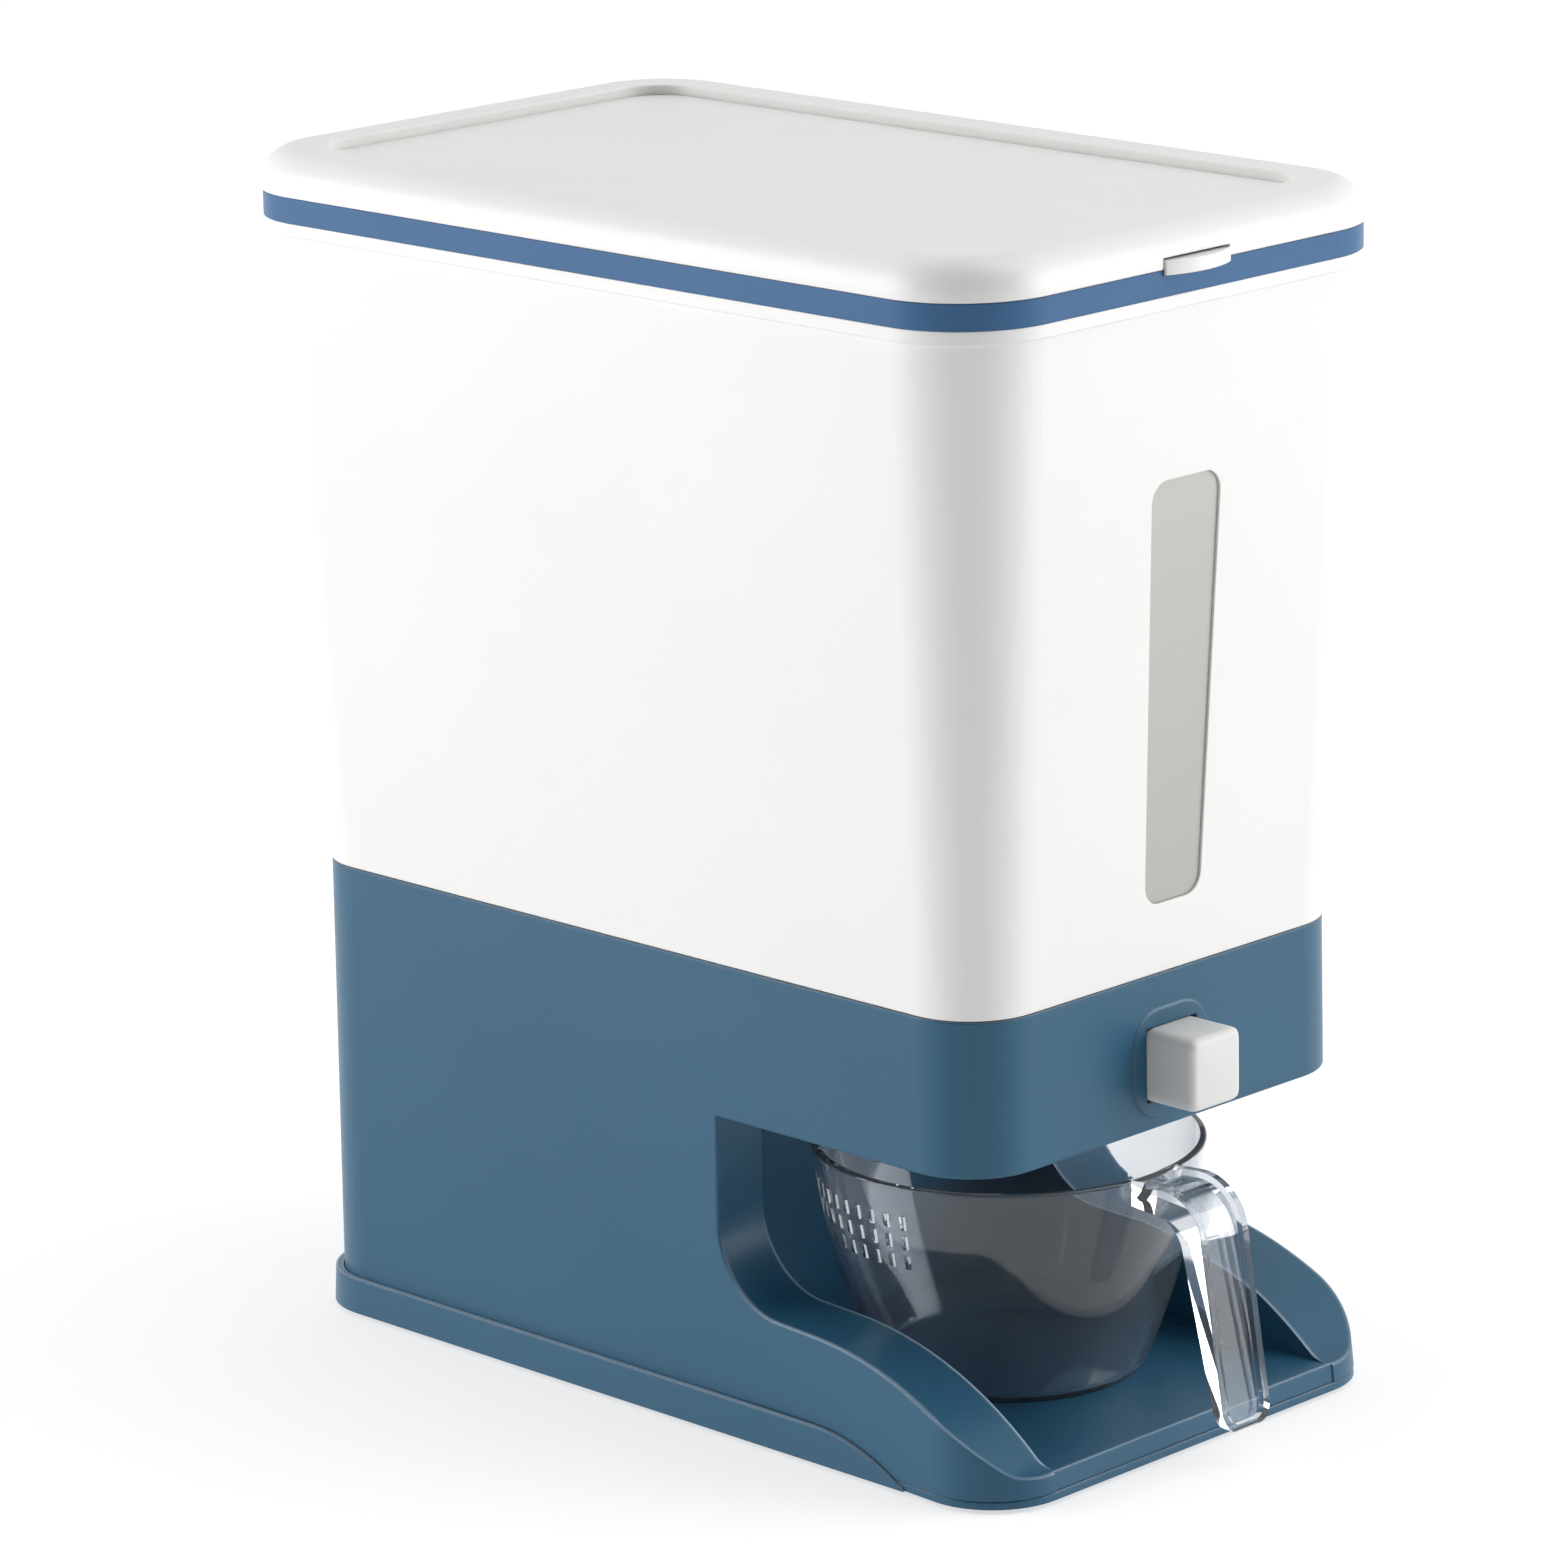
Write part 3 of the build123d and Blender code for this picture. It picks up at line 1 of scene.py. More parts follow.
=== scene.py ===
# %% [markdown]
# # A rice container with a push button and a clear washing cup
#
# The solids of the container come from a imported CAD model: a white tapered bin with a hinged lid, on a slate
# blue stand with an open bay for a clear cup. This lesson sets up the photo's camera, lights it like a small
# studio, models the finest pieces by hand, and gives each piece the finish of the real one.
#
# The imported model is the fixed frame. Its pieces already stand where they belong, in metres, so nothing here
# is moved by eye.

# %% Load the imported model
import math

import bpy
from mathutils import Matrix, Vector


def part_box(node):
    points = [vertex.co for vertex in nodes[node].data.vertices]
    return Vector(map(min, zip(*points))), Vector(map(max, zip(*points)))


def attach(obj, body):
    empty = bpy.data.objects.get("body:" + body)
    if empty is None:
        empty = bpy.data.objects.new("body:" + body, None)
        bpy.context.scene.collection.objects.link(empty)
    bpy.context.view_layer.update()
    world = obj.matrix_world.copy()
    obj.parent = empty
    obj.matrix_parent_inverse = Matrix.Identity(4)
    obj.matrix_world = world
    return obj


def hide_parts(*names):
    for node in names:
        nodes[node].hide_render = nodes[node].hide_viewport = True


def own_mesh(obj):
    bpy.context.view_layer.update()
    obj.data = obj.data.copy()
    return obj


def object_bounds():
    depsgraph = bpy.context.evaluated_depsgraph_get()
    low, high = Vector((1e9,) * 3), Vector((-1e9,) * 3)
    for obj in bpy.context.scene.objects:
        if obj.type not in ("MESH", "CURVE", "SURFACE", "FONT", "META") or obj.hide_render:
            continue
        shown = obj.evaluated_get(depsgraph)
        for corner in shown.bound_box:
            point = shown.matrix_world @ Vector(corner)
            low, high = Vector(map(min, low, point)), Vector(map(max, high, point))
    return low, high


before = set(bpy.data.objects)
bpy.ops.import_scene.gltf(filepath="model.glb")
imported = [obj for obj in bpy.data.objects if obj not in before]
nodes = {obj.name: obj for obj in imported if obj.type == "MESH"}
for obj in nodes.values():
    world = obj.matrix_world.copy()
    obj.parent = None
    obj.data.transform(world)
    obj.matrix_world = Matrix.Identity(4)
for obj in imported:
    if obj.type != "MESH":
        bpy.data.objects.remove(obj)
cad_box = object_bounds()
print("pieces in the frame:", len(nodes))

# %% [markdown]
# ## The camera
#
# The photo was taken with a long lens from the front left, a little above the lid. A camera can be placed by
# dragging it until things line up, but the straight edges of the bin give its place exactly: turn, tilt, roll
# and distance are worked out from them once, and written here as a place and three angles.
#
# The picture was cropped off centre afterwards. The lens shift stands for that crop, so it is small.

# %% Place the camera
CAMERA_PLACE = Vector((-1.6045, -1.5833, 0.7986))
CAMERA_TURN = math.radians(-45.272)
CAMERA_TILT = math.radians(14.809)
CAMERA_ROLL = math.radians(-1.134)
LENS_MM = 162.0
CROP_RIGHT = -0.01851
CROP_UP = -0.01721


def camera_axes(turn, tilt, roll):
    """Right, up and backward directions of a camera that looks at the object."""
    back = Vector((math.sin(turn) * math.cos(tilt), -math.cos(turn) * math.cos(tilt), math.sin(tilt)))
    level = Vector((math.cos(turn), math.sin(turn), 0.0))
    above = back.cross(level)
    right = level * math.cos(roll) + above * math.sin(roll)
    up = above * math.cos(roll) - level * math.sin(roll)
    return right, up, back


bpy.ops.object.select_all(action="DESELECT")
bpy.ops.object.camera_add(location=CAMERA_PLACE)
camera = bpy.context.object
camera.name = "photo_camera"
turned = Matrix(camera_axes(CAMERA_TURN, CAMERA_TILT, CAMERA_ROLL)).transposed()
camera.matrix_world = Matrix.Translation(CAMERA_PLACE) @ turned.to_4x4()
camera.data.lens = LENS_MM
camera.data.shift_x = CROP_RIGHT
camera.data.shift_y = CROP_UP
bpy.context.scene.camera = camera
print("camera stands", round(CAMERA_PLACE.length, 3), "m from the middle of the floor")

# %% [markdown]
# ## Floor and light
#
# The container stands on a plain white floor in a white studio, lit by two large softboxes, one on its left
# and one on its right as the camera sees it. That is what makes the near corner of the bin grey while both of
# its flat sides stay almost white: the corner faces the camera, where the studio is dark and no lamp stands.
# A third, weaker softbox hangs in front, high up, and lights the lid, the button's top and the tray.
#
# The sky of the scene stands for the white walls. A ramp across it makes the camera's side dark, and the far
# side a little dimmer, so that the rear of the container shows its form too.
#
# Colours are shown as they are, without the film curve that would grey the whites.

# %% Lay the floor
FLOOR_SIZE = 30.0

bpy.ops.object.select_all(action="DESELECT")
bpy.ops.mesh.primitive_plane_add(size=FLOOR_SIZE, location=(0.0, 0.0, 0.0))
floor = bpy.context.object
floor.name = "floor"
print("floor:", FLOOR_SIZE, "m square")

# %% Hang the lamps
LAMP_DISTANCE = 2.2
LAMP_SIZE = 1.6


def softbox(name, azimuth, elevation, power):
    """Square lamp that looks at the middle of the container."""
    aim = Vector((0.0, 0.0, (cad_box[0][2] + cad_box[1][2]) / 2))
    turn = math.radians(azimuth)
    rise = math.radians(elevation)
    toward = Vector((math.cos(turn) * math.cos(rise), math.sin(turn) * math.cos(rise), math.sin(rise)))
    bpy.ops.object.light_add(type="AREA", location=aim + toward * LAMP_DISTANCE)
    lamp = bpy.context.object
    lamp.name = name
    lamp.rotation_euler = toward.to_track_quat("Z", "Y").to_euler()
    lamp.data.energy = power
    lamp.data.size = LAMP_SIZE
    return lamp


lamps = [
    softbox("softbox_left", azimuth=140.0, elevation=12.0, power=36.5),
    softbox("softbox_right", azimuth=310.0, elevation=12.0, power=31.5),
    softbox("softbox_above", azimuth=290.0, elevation=66.0, power=12.5),
]
print("lamps:", [lamp.name for lamp in lamps])

# %% Paint the studio walls
DARK_SIDE = Vector((-0.70, -0.70, 0.05))
# Place and brightness, on the way from the far side (0) to the dark side (1)
WALL_STOPS = [(0.0, 0.68), (0.36, 0.95), (0.475, 0.95), (0.74, 0.02)]
MIDWAY = 0.5


def studio_walls(name):
    """White surroundings with one soft dark side, and dimmer again opposite to it."""
    walls = bpy.data.worlds.new(name)
    walls.use_nodes = True
    tree = walls.node_tree
    looking = tree.nodes.new("ShaderNodeTexCoord")
    toward = tree.nodes.new("ShaderNodeVectorMath")
    toward.operation = "DOT_PRODUCT"
    toward.inputs[1].default_value = DARK_SIDE.normalized()
    tree.links.new(looking.outputs["Generated"], toward.inputs[0])
    around = tree.nodes.new("ShaderNodeMapRange")
    around.inputs["From Min"].default_value = -1.0
    tree.links.new(toward.outputs["Value"], around.inputs["Value"])
    fade = tree.nodes.new("ShaderNodeValToRGB")
    fade.color_ramp.interpolation = "EASE"
    while len(fade.color_ramp.elements) < len(WALL_STOPS):
        fade.color_ramp.elements.new(MIDWAY)
    for stop, (place, grey) in zip(fade.color_ramp.elements, WALL_STOPS):
        stop.position = place
        stop.color = (grey, grey, grey, 1.0)
    tree.links.new(around.outputs["Result"], fade.inputs["Fac"])
    tree.links.new(fade.outputs["Color"], tree.nodes["Background"].inputs["Color"])
    return walls


bpy.context.scene.world = studio_walls("studio_walls")
bpy.context.scene.view_settings.view_transform = "Standard"
print("walls:", len(WALL_STOPS), "steps of brightness")

# %% [markdown]
# ## Modelling by hand: the push button
#
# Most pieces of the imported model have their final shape. Four get a finer one here: the button, the pads and
# the screws under the base, and the return spring. Each starts as a primitive at its size and is then shaped
# in edit mode. An operator works on whatever is selected, so one helper picks faces or edges by a rule about
# where they are or which way they look.
#
# The button is a soft pillow: its sides bow outwards a little and its corners are rounder than a plain fillet
# makes them. A wide bevel with a full profile gives exactly that, because it rounds most of each side. Behind
# the wall of the head a flange keeps the cap in, and the cap is hollow, as every moulded cap is.

# %% Helpers for modelling
SMOOTH_ANGLE = math.radians(35.0)
FLAT = 0.999  # least share of a direction that counts as along an axis


def pick(piece, kind, wanted):
    """Select in edit mode only those faces or edges of a piece that are wanted."""
    bpy.context.tool_settings.mesh_select_mode = (False, kind == "edges", kind == "faces")
    bpy.ops.object.mode_set(mode="EDIT")
    bpy.ops.mesh.select_all(action="DESELECT")
    bpy.ops.object.mode_set(mode="OBJECT")
    for part in piece.data.polygons if kind == "faces" else piece.data.edges:
        part.select = wanted(part)
    bpy.ops.object.mode_set(mode="EDIT")


def add_block(name, low, high):
    """Cube primitive between two corners."""
    bpy.ops.object.select_all(action="DESELECT")
    bpy.ops.mesh.primitive_cube_add(size=1.0, location=(low + high) / 2, scale=high - low)
    bpy.context.object.name = name
    bpy.ops.object.transform_apply(location=True, rotation=True, scale=True)
    return bpy.context.object


def add_disc(name, radius, low, high, sides):
    """Cylinder primitive between two heights over the middle of the floor."""
    bpy.ops.object.select_all(action="DESELECT")
    middle = (0.0, 0.0, (low + high) / 2)
    bpy.ops.mesh.primitive_cylinder_add(vertices=sides, radius=radius, depth=high - low, location=middle)
    bpy.context.object.name = name
    bpy.ops.object.transform_apply(location=True, rotation=True, scale=True)
    return bpy.context.object


def extrude(shift):
    """Pull the selected faces out or push them in by a shift."""
    bpy.ops.mesh.extrude_region_move(TRANSFORM_OT_translate={"value": shift})


def hand_over(piece, body, node):
    """Round shading, and the piece stands for its node."""
    bpy.ops.object.mode_set(mode="EDIT")
    bpy.ops.mesh.select_all(action="SELECT")
    bpy.ops.mesh.normals_make_consistent(inside=False)
    bpy.ops.object.mode_set(mode="OBJECT")
    bpy.ops.object.shade_smooth_by_angle(angle=SMOOTH_ANGLE)
    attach(piece, body)
    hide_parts(node)
    print(piece.name, "has", len(piece.data.polygons), "faces and stands for", node)


# %% Model the push button
BUTTON_FLANGE = 0.0022
BUTTON_WALL = 0.002
BUTTON_FACE = 0.0035
BUTTON_CORNER = 0.0085
BUTTON_FULLNESS = 0.8
BUTTON_EDGE = 0.0026

button_low, button_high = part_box("button")
cap_low = button_low + Vector((BUTTON_FLANGE, 0.0, 0.0))
cap_high = button_high - Vector((BUTTON_FLANGE, 0.0, BUTTON_FLANGE))
cap = add_block("push_button_cap", cap_low, cap_high)
middle = (cap_low + cap_high) / 2


def runs_front_to_back(edge):
    first, second = (cap.data.vertices[index].co for index in edge.vertices)
    return abs((first - second).normalized().y) > FLAT


def looks_forward(face):
    return face.normal.y < -FLAT


pick(cap, "edges", runs_front_to_back)
bpy.ops.mesh.bevel(offset=BUTTON_CORNER, segments=12, profile=BUTTON_FULLNESS, affect="EDGES")
pick(cap, "faces", looks_forward)
bpy.ops.mesh.bevel(offset=BUTTON_EDGE, segments=6, affect="EDGES")
print("pillow:", [round(side * 1000, 1) for side in cap_high - cap_low], "mm")

# %% Give the cap its flange and hollow it
flange_front = cap_high.y - BUTTON_WALL


def carries_flange(face):
    """Rear end of the sides and the top; the lower side has no flange."""
    is_side = abs(face.normal.y) < 1.0 - FLAT
    return is_side and face.center.y > flange_front and face.center.z > cap_low.z + BUTTON_EDGE


def closes_the_rear(face):
    return face.normal.y > FLAT and (face.center - middle).xz.length < BUTTON_WALL


bpy.ops.mesh.select_all(action="SELECT")
bpy.ops.mesh.bisect(plane_co=(0.0, flange_front, 0.0), plane_no=(0.0, 1.0, 0.0))
pick(cap, "faces", carries_flange)
bpy.ops.mesh.extrude_region_shrink_fatten(TRANSFORM_OT_shrink_fatten={"value": BUTTON_FLANGE})
pick(cap, "faces", closes_the_rear)
bpy.ops.mesh.inset(thickness=BUTTON_WALL)
extrude((0.0, cap_low.y + BUTTON_FACE - cap_high.y, 0.0))
hand_over(cap, "push_body", "button")

# %% [markdown]
# ## Modelling by hand: pads and screws under the base
#
# Four rubber pads and six screws sit under the bottom plate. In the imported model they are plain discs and
# stepped cylinders. On containers of this kind a pad usually has a soft lower edge and a ring pressed into its
# sole, and a screw has a domed head with a cross for the driver. Both are small turned shapes: a cylinder is
# inset and extruded from its ends and its rim is bevelled, and a small cross cuts the recess with a Boolean.
# Each is modelled once over the middle of the floor and then copied to its places, which are read from the
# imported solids, so the new pieces sit exactly where those were.

# %% Find the places of what repeats


def solid_boxes(node, reach):
    """Lowest and highest corner of each separate solid of a node; points within reach belong together."""
    groups = []
    for vertex in nodes[node].data.vertices:
        near = [group for group in groups if (group[0] - vertex.co).xy.length < reach]
        if near:
            near[0].append(vertex.co.copy())
        else:
            groups.append([vertex.co.copy()])
    corners = []
    for group in groups:
        low = Vector([min(point[axis] for point in group) for axis in range(3)])
        high = Vector([max(point[axis] for point in group) for axis in range(3)])
        corners.append((low, high))
    return corners


def copy_to(model, name, boxes):
    """Copies of a model at the middle of each box, seen from above, joined to one piece."""
    bpy.ops.object.mode_set(mode="OBJECT")
    copies = []
    for low, high in boxes:
        bpy.ops.object.select_all(action="DESELECT")
        model.select_set(True)
        bpy.context.view_layer.objects.active = model
        bpy.ops.object.duplicate(linked=False)
        copied = bpy.context.object
        copied.location = ((low.x + high.x) / 2, (low.y + high.y) / 2, 0.0)
        bpy.ops.object.transform_apply(location=True, rotation=True, scale=True)
        copies.append(copied)
    bpy.ops.object.select_all(action="DESELECT")
    model.select_set(True)
    bpy.ops.object.delete()
    for copied in copies:
        copied.select_set(True)
    bpy.context.view_layer.objects.active = copies[0]
    bpy.ops.object.join()
    bpy.context.object.name = name
    return bpy.context.object


# %% Model the pads
PAD_REACH = 0.03  # wider than one pad and less than from pad to pad
PAD_SIDES = 48
PAD_EDGE = 0.0006
RING_INSET = 0.0022
RING_WIDTH = 0.0012
RING_DEPTH = 0.0005

pad_boxes = solid_boxes("foot_pads", PAD_REACH)
pad_low, pad_high = pad_boxes[0]
pad_radius = (pad_high.x - pad_low.x) / 2
pad = add_disc("pad", pad_radius, pad_low.z, pad_high.z, PAD_SIDES)


def looks_down(face):
    return face.normal.z < -FLAT


def is_ring(face):
    outside = pad_radius - PAD_EDGE - RING_INSET
    return looks_down(face) and outside - RING_WIDTH < face.center.xy.length < outside


pick(pad, "faces", looks_down)
bpy.ops.mesh.bevel(offset=PAD_EDGE, segments=4, affect="EDGES")
pick(pad, "faces", looks_down)
bpy.ops.mesh.inset(thickness=RING_INSET)
bpy.ops.mesh.inset(thickness=RING_WIDTH)
pick(pad, "faces", is_ring)
extrude((0.0, 0.0, RING_DEPTH))
hand_over(copy_to(pad, "grip_pads", pad_boxes), "base", "foot_pads")

# %% Model the screw
SCREW_REACH = 0.01  # wider than one screw and less than from screw to screw
SCREW_SIDES = 32
SCREW_HEAD = 0.0012
SCREW_DOME = 0.0008
SHANK_RADIUS = 0.0015
TIP_LENGTH = 0.002
TIP_SHARE = 0.35

screw_boxes = solid_boxes("plate_screws", SCREW_REACH)
screw_low, screw_high = screw_boxes[0]
head_radius = (screw_high.x - screw_low.x) / 2
head_top = screw_low.z + SCREW_HEAD
screw = add_disc("screw", head_radius, screw_low.z, head_top, SCREW_SIDES)


def looks_up(face):
    return face.normal.z > FLAT


pick(screw, "faces", looks_down)
bpy.ops.mesh.bevel(offset=SCREW_DOME, segments=5, affect="EDGES")
pick(screw, "faces", looks_up)
bpy.ops.mesh.inset(thickness=head_radius - SHANK_RADIUS)
extrude((0.0, 0.0, screw_high.z - TIP_LENGTH - head_top))
extrude((0.0, 0.0, TIP_LENGTH))
bpy.ops.transform.resize(value=(TIP_SHARE, TIP_SHARE, 1.0))
bpy.ops.object.mode_set(mode="OBJECT")
print("screw is", round((screw_high.z - screw_low.z) * 1000, 1), "mm long")

# %% Cut the cross and copy the screw
CROSS_BAR = 0.0008
CROSS_ARM = 0.0011
CROSS_DEPTH = 0.0008
CROSS_TAPER = 0.6

half_bar = CROSS_BAR / 2
cross_low = Vector((-half_bar, -half_bar, screw_low.z - CROSS_DEPTH))
cross_high = Vector((half_bar, half_bar, screw_low.z + CROSS_DEPTH))
cross = add_block("cross", cross_low, cross_high)


def looks_sideways(face):
    return abs(face.normal.z) < 1.0 - FLAT


pick(cross, "faces", looks_sideways)
bpy.ops.mesh.extrude_faces_move(TRANSFORM_OT_shrink_fatten={"value": CROSS_ARM})
pick(cross, "faces", looks_up)
bpy.ops.transform.resize(value=(CROSS_TAPER, CROSS_TAPER, 1.0))
bpy.ops.object.mode_set(mode="OBJECT")

bpy.ops.object.select_all(action="DESELECT")
screw.select_set(True)
bpy.context.view_layer.objects.active = screw
recess = screw.modifiers.new("recess", "BOOLEAN")
recess.operation = "DIFFERENCE"
recess.object = cross
bpy.ops.object.modifier_apply(modifier=recess.name)
bpy.ops.object.select_all(action="DESELECT")
cross.select_set(True)
bpy.ops.object.delete()
hand_over(copy_to(screw, "cross_screws", screw_boxes), "base", "plate_screws")

# %% [markdown]
# ## Modelling by hand: the return spring
#
# A coil spring behind the gate pushes the button out again. A rigid coil would stick through the gate when
# the button is pressed; this one is rigid and rides on the base. The coil is one ring of wire that a Screw
# modifier winds round the axis, and its two open ends are closed afterwards.

# %% Model the return spring
WIRE_RADIUS = 0.00045
WIRE_SIDES = 12
SPRING_TURNS = 9
STEPS_PER_TURN = 28

spring_low, spring_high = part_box("return_spring")
spring_middle = (spring_low + spring_high) / 2
coil_radius = (spring_high.x - spring_low.x) / 2 - WIRE_RADIUS
first_ring = Vector((spring_middle.x, spring_low.y + WIRE_RADIUS, spring_middle.z))
wound_length = spring_high.y - spring_low.y - 2 * WIRE_RADIUS
bpy.ops.object.select_all(action="DESELECT")
bpy.ops.mesh.primitive_circle_add(vertices=WIRE_SIDES, radius=WIRE_RADIUS, location=first_ring)
coil = bpy.context.object
coil.name = "return_coil"
bpy.ops.object.mode_set(mode="EDIT")
bpy.ops.mesh.select_all(action="SELECT")
bpy.ops.transform.translate(value=(coil_radius, 0.0, 0.0))
bpy.ops.object.mode_set(mode="OBJECT")
winding = coil.modifiers.new("winding", "SCREW")
winding.axis = "Y"
winding.angle = 2 * math.pi
winding.screw_offset = wound_length / SPRING_TURNS
winding.iterations = SPRING_TURNS
winding.steps = STEPS_PER_TURN
winding.render_steps = STEPS_PER_TURN
bpy.ops.object.modifier_apply(modifier=winding.name)
bpy.ops.object.transform_apply(location=True, rotation=True, scale=True)
bpy.ops.object.mode_set(mode="EDIT")
bpy.ops.mesh.select_all(action="SELECT")
bpy.ops.mesh.fill_holes(sides=WIRE_SIDES)
hand_over(coil, "base", "return_spring")
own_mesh(coil)

# %% [markdown]
# ## Finishes
#
# Every finish below is a small network of nodes on Object coordinates, so it stays in place on the piece. All
# of them start from the Principled shader. The helpers add one node at a time and name it for what it does.

# %% Helpers for finishes
EDGE_SAMPLES = 6
RIM_SAMPLES = 8
RIM_OPENNESS = (0.62, 0.94)  # how free the look inward is, from a rim to the open face
HIGHLIGHT_SLOPES = (0.15, 0.6)  # upward share of the normal, from no painted highlight to the full painted highlight


def new_finish(name):
    """Material with only a Principled shader, and the coordinates that its patterns read."""
    finish = bpy.data.materials.new(name)
    finish.use_nodes = True
    tree = finish.node_tree
    places = tree.nodes.new("ShaderNodeTexCoord")
    return finish, tree, shader_of(finish), places.outputs["Object"]


def shader_of(finish):
    return finish.node_tree.nodes["Principled BSDF"]


def add_node(tree, kind, label, **values):
    """New node with its constant sockets set."""
    made = tree.nodes.new("ShaderNode" + kind)
    made.label = label
    for socket, value in values.items():
        made.inputs[socket.replace("_", " ")].default_value = value
    return made


def add_noise(tree, places, label, feature, detail=2.0):
    """Noise whose blobs are about one feature wide, in metres."""
    noise = add_node(tree, "TexNoise", label, Scale=1.0 / feature, Detail=detail)
    tree.links.new(places, noise.inputs["Vector"])
    return noise.outputs["Fac"]


def add_range(tree, value, label, low, high, from_low=0.3, from_high=0.7):
    """Value brought from one range to the range between low and high."""
    span = add_node(tree, "MapRange", label)
    tree.links.new(value, span.inputs["Value"])
    span.inputs["From Min"].default_value = from_low
    span.inputs["From Max"].default_value = from_high
    span.inputs["To Min"].default_value = low
    span.inputs["To Max"].default_value = high
    return span.outputs["Result"]


def add_blend(tree, share, label, first, second):
    """Colour between two tints."""
    blend = tree.nodes.new("ShaderNodeMix")
    blend.label = label
    blend.data_type = "RGBA"
    tree.links.new(share, blend.inputs["Factor"])
    for socket, tint in (("A", first), ("B", second)):
        entry = [slot for slot in blend.inputs if slot.name == socket and slot.type == "RGBA"][0]
        if isinstance(tint, tuple):
            entry.default_value = (*tint, 1.0)
        else:
            tree.links.new(tint, entry)
    return [slot for slot in blend.outputs if slot.type == "RGBA"][0]


def add_soft_edges(tree, radius):
    """Normal that runs round sharp edges."""
    bevel = add_node(tree, "Bevel", "rounded edges", Radius=radius)
    bevel.samples = EDGE_SAMPLES
    return bevel.outputs["Normal"]


def add_painted_rim_highlight(tree, reach):
    """Mask of the painted highlight on upper rims: a short look into the material meets another face only near
    an outer edge.
    """
    inward = add_node(tree, "AmbientOcclusion", "near an outer edge", Distance=reach)
    inward.inside = True
    inward.samples = RIM_SAMPLES
    rim = add_range(tree, inward.outputs["AO"], "rim", 1.0, 0.0, *RIM_OPENNESS)
    surface = tree.nodes.new("ShaderNodeNewGeometry")
    split = tree.nodes.new("ShaderNodeSeparateXYZ")
    tree.links.new(surface.outputs["Normal"], split.inputs["Vector"])
    upward = add_range(tree, split.outputs["Z"], "facing up", 0.0, 1.0, *HIGHLIGHT_SLOPES)
    # painted highlight: only rims that face up, towards the lamps above, are lightened
    rim_highlight = tree.nodes.new("ShaderNodeMath")
    rim_highlight.operation = "MULTIPLY"
    tree.links.new(rim, rim_highlight.inputs[0])
    tree.links.new(upward, rim_highlight.inputs[1])
    return rim_highlight.outputs["Value"]


def add_bump(tree, height, normal, depth):
    """Relief of the given depth, in metres, on top of a normal."""
    bump = add_node(tree, "Bump", "relief", Strength=1.0, Distance=depth)
    tree.links.new(height, bump.inputs["Height"])
    if normal is not None:
        tree.links.new(normal, bump.inputs["Normal"])
    return bump.outputs["Normal"]


def dress(names, finish):
    """Give pieces their finish."""
    for name in names:
        mesh = bpy.data.objects[name].data
        mesh.materials.clear()
        mesh.materials.append(finish)
    print(finish.name, "on", ", ".join(names))


# %% One recipe for all moulded plastic
CLOUD_SIZE = 0.11
HANDLED_SIZE = 0.035
SHINE_SWING = 0.04


def moulded_plastic(name, tint, deep_tint, highlight_tint, roughness, grain, grain_depth, edge_radius):
    """Moulded plastic: cloudy colour, eroded grain from the tool, handled shine and a painted highlight on
    upper rims.
    """
    finish, tree, shader, places = new_finish(name)
    cloud = add_noise(tree, places, "cloudy colour", CLOUD_SIZE, detail=3.0)
    share = add_range(tree, cloud, "cloud contrast", 0.0, 1.0)
    colour = add_blend(tree, share, "melt colour", deep_tint, tint)
    normal = add_soft_edges(tree, edge_radius)
    # painted highlight: upper rims are blended towards the paler highlight colour
    colour = add_blend(tree, add_painted_rim_highlight(tree, 2 * edge_radius), "painted rim highlight", colour, highlight_tint)
    tree.links.new(colour, shader.inputs["Base Color"])
    handled = add_noise(tree, places, "handled shine", HANDLED_SIZE, detail=3.0)
    glossy = roughness - SHINE_SWING
    dull = roughness + SHINE_SWING
    shine = add_range(tree, handled, "shine range", glossy, dull, from_low=0.2, from_high=0.8)
    tree.links.new(shine, shader.inputs["Roughness"])
    skin = add_noise(tree, places, "eroded grain", grain)
    tree.links.new(add_bump(tree, skin, normal, grain_depth), shader.inputs["Normal"])
    return finish


print("finishes by recipe: cloud of", CLOUD_SIZE, "m, shine of", HANDLED_SIZE, "m")

# %% [markdown]
# ## Slate blue stand
#
# The stand is moulded in slate blue plastic from a tool with a fine eroded grain, so its shine is soft and
# wide. Its rims catch thin bright lines, because a moulded edge is never quite sharp. The Bevel node rounds
# the normal at sharp edges without touching the mesh. It doesn't find rims that are already rounded, so a
# paler colour paints the highlight on them, masked by Ambient Occlusion turned inwards: a short look into the
# material meets another face only near an outer edge. Only rims that face up get this painted highlight.

# %% Dress the stand
slate = moulded_plastic(
    "slate_plastic",
    tint=(0.021, 0.098, 0.174),
    deep_tint=(0.018, 0.092, 0.165),
    # paler colour of the painted highlight on upper rims
    highlight_tint=(0.36, 0.46, 0.56),
    roughness=0.36,
    grain=0.0007,
    grain_depth=0.00002,
    edge_radius=0.0009,
)
shader_of(slate).inputs["Specular IOR Level"].default_value = 0.38
dress(["stand", "bottom_plate"], slate)

# %% [markdown]
# ## Blue band
#
# The collar under the lid is a separate moulding in a clearer, slightly more violet blue. It is smoother than
# the stand, as a part that carries a seal is polished in the tool.

# %% Dress the band
band = moulded_plastic(
    "band_plastic",
    tint=(0.055, 0.135, 0.275),
    deep_tint=(0.051, 0.128, 0.262),
    # paler colour of the painted highlight on upper rims
    highlight_tint=(0.20, 0.30, 0.46),
    roughness=0.34,
    grain=0.0008,
    grain_depth=0.00001,
    edge_radius=0.0006,
)
shader_of(band).inputs["Specular IOR Level"].default_value = 0.13
dress(["collar"], band)

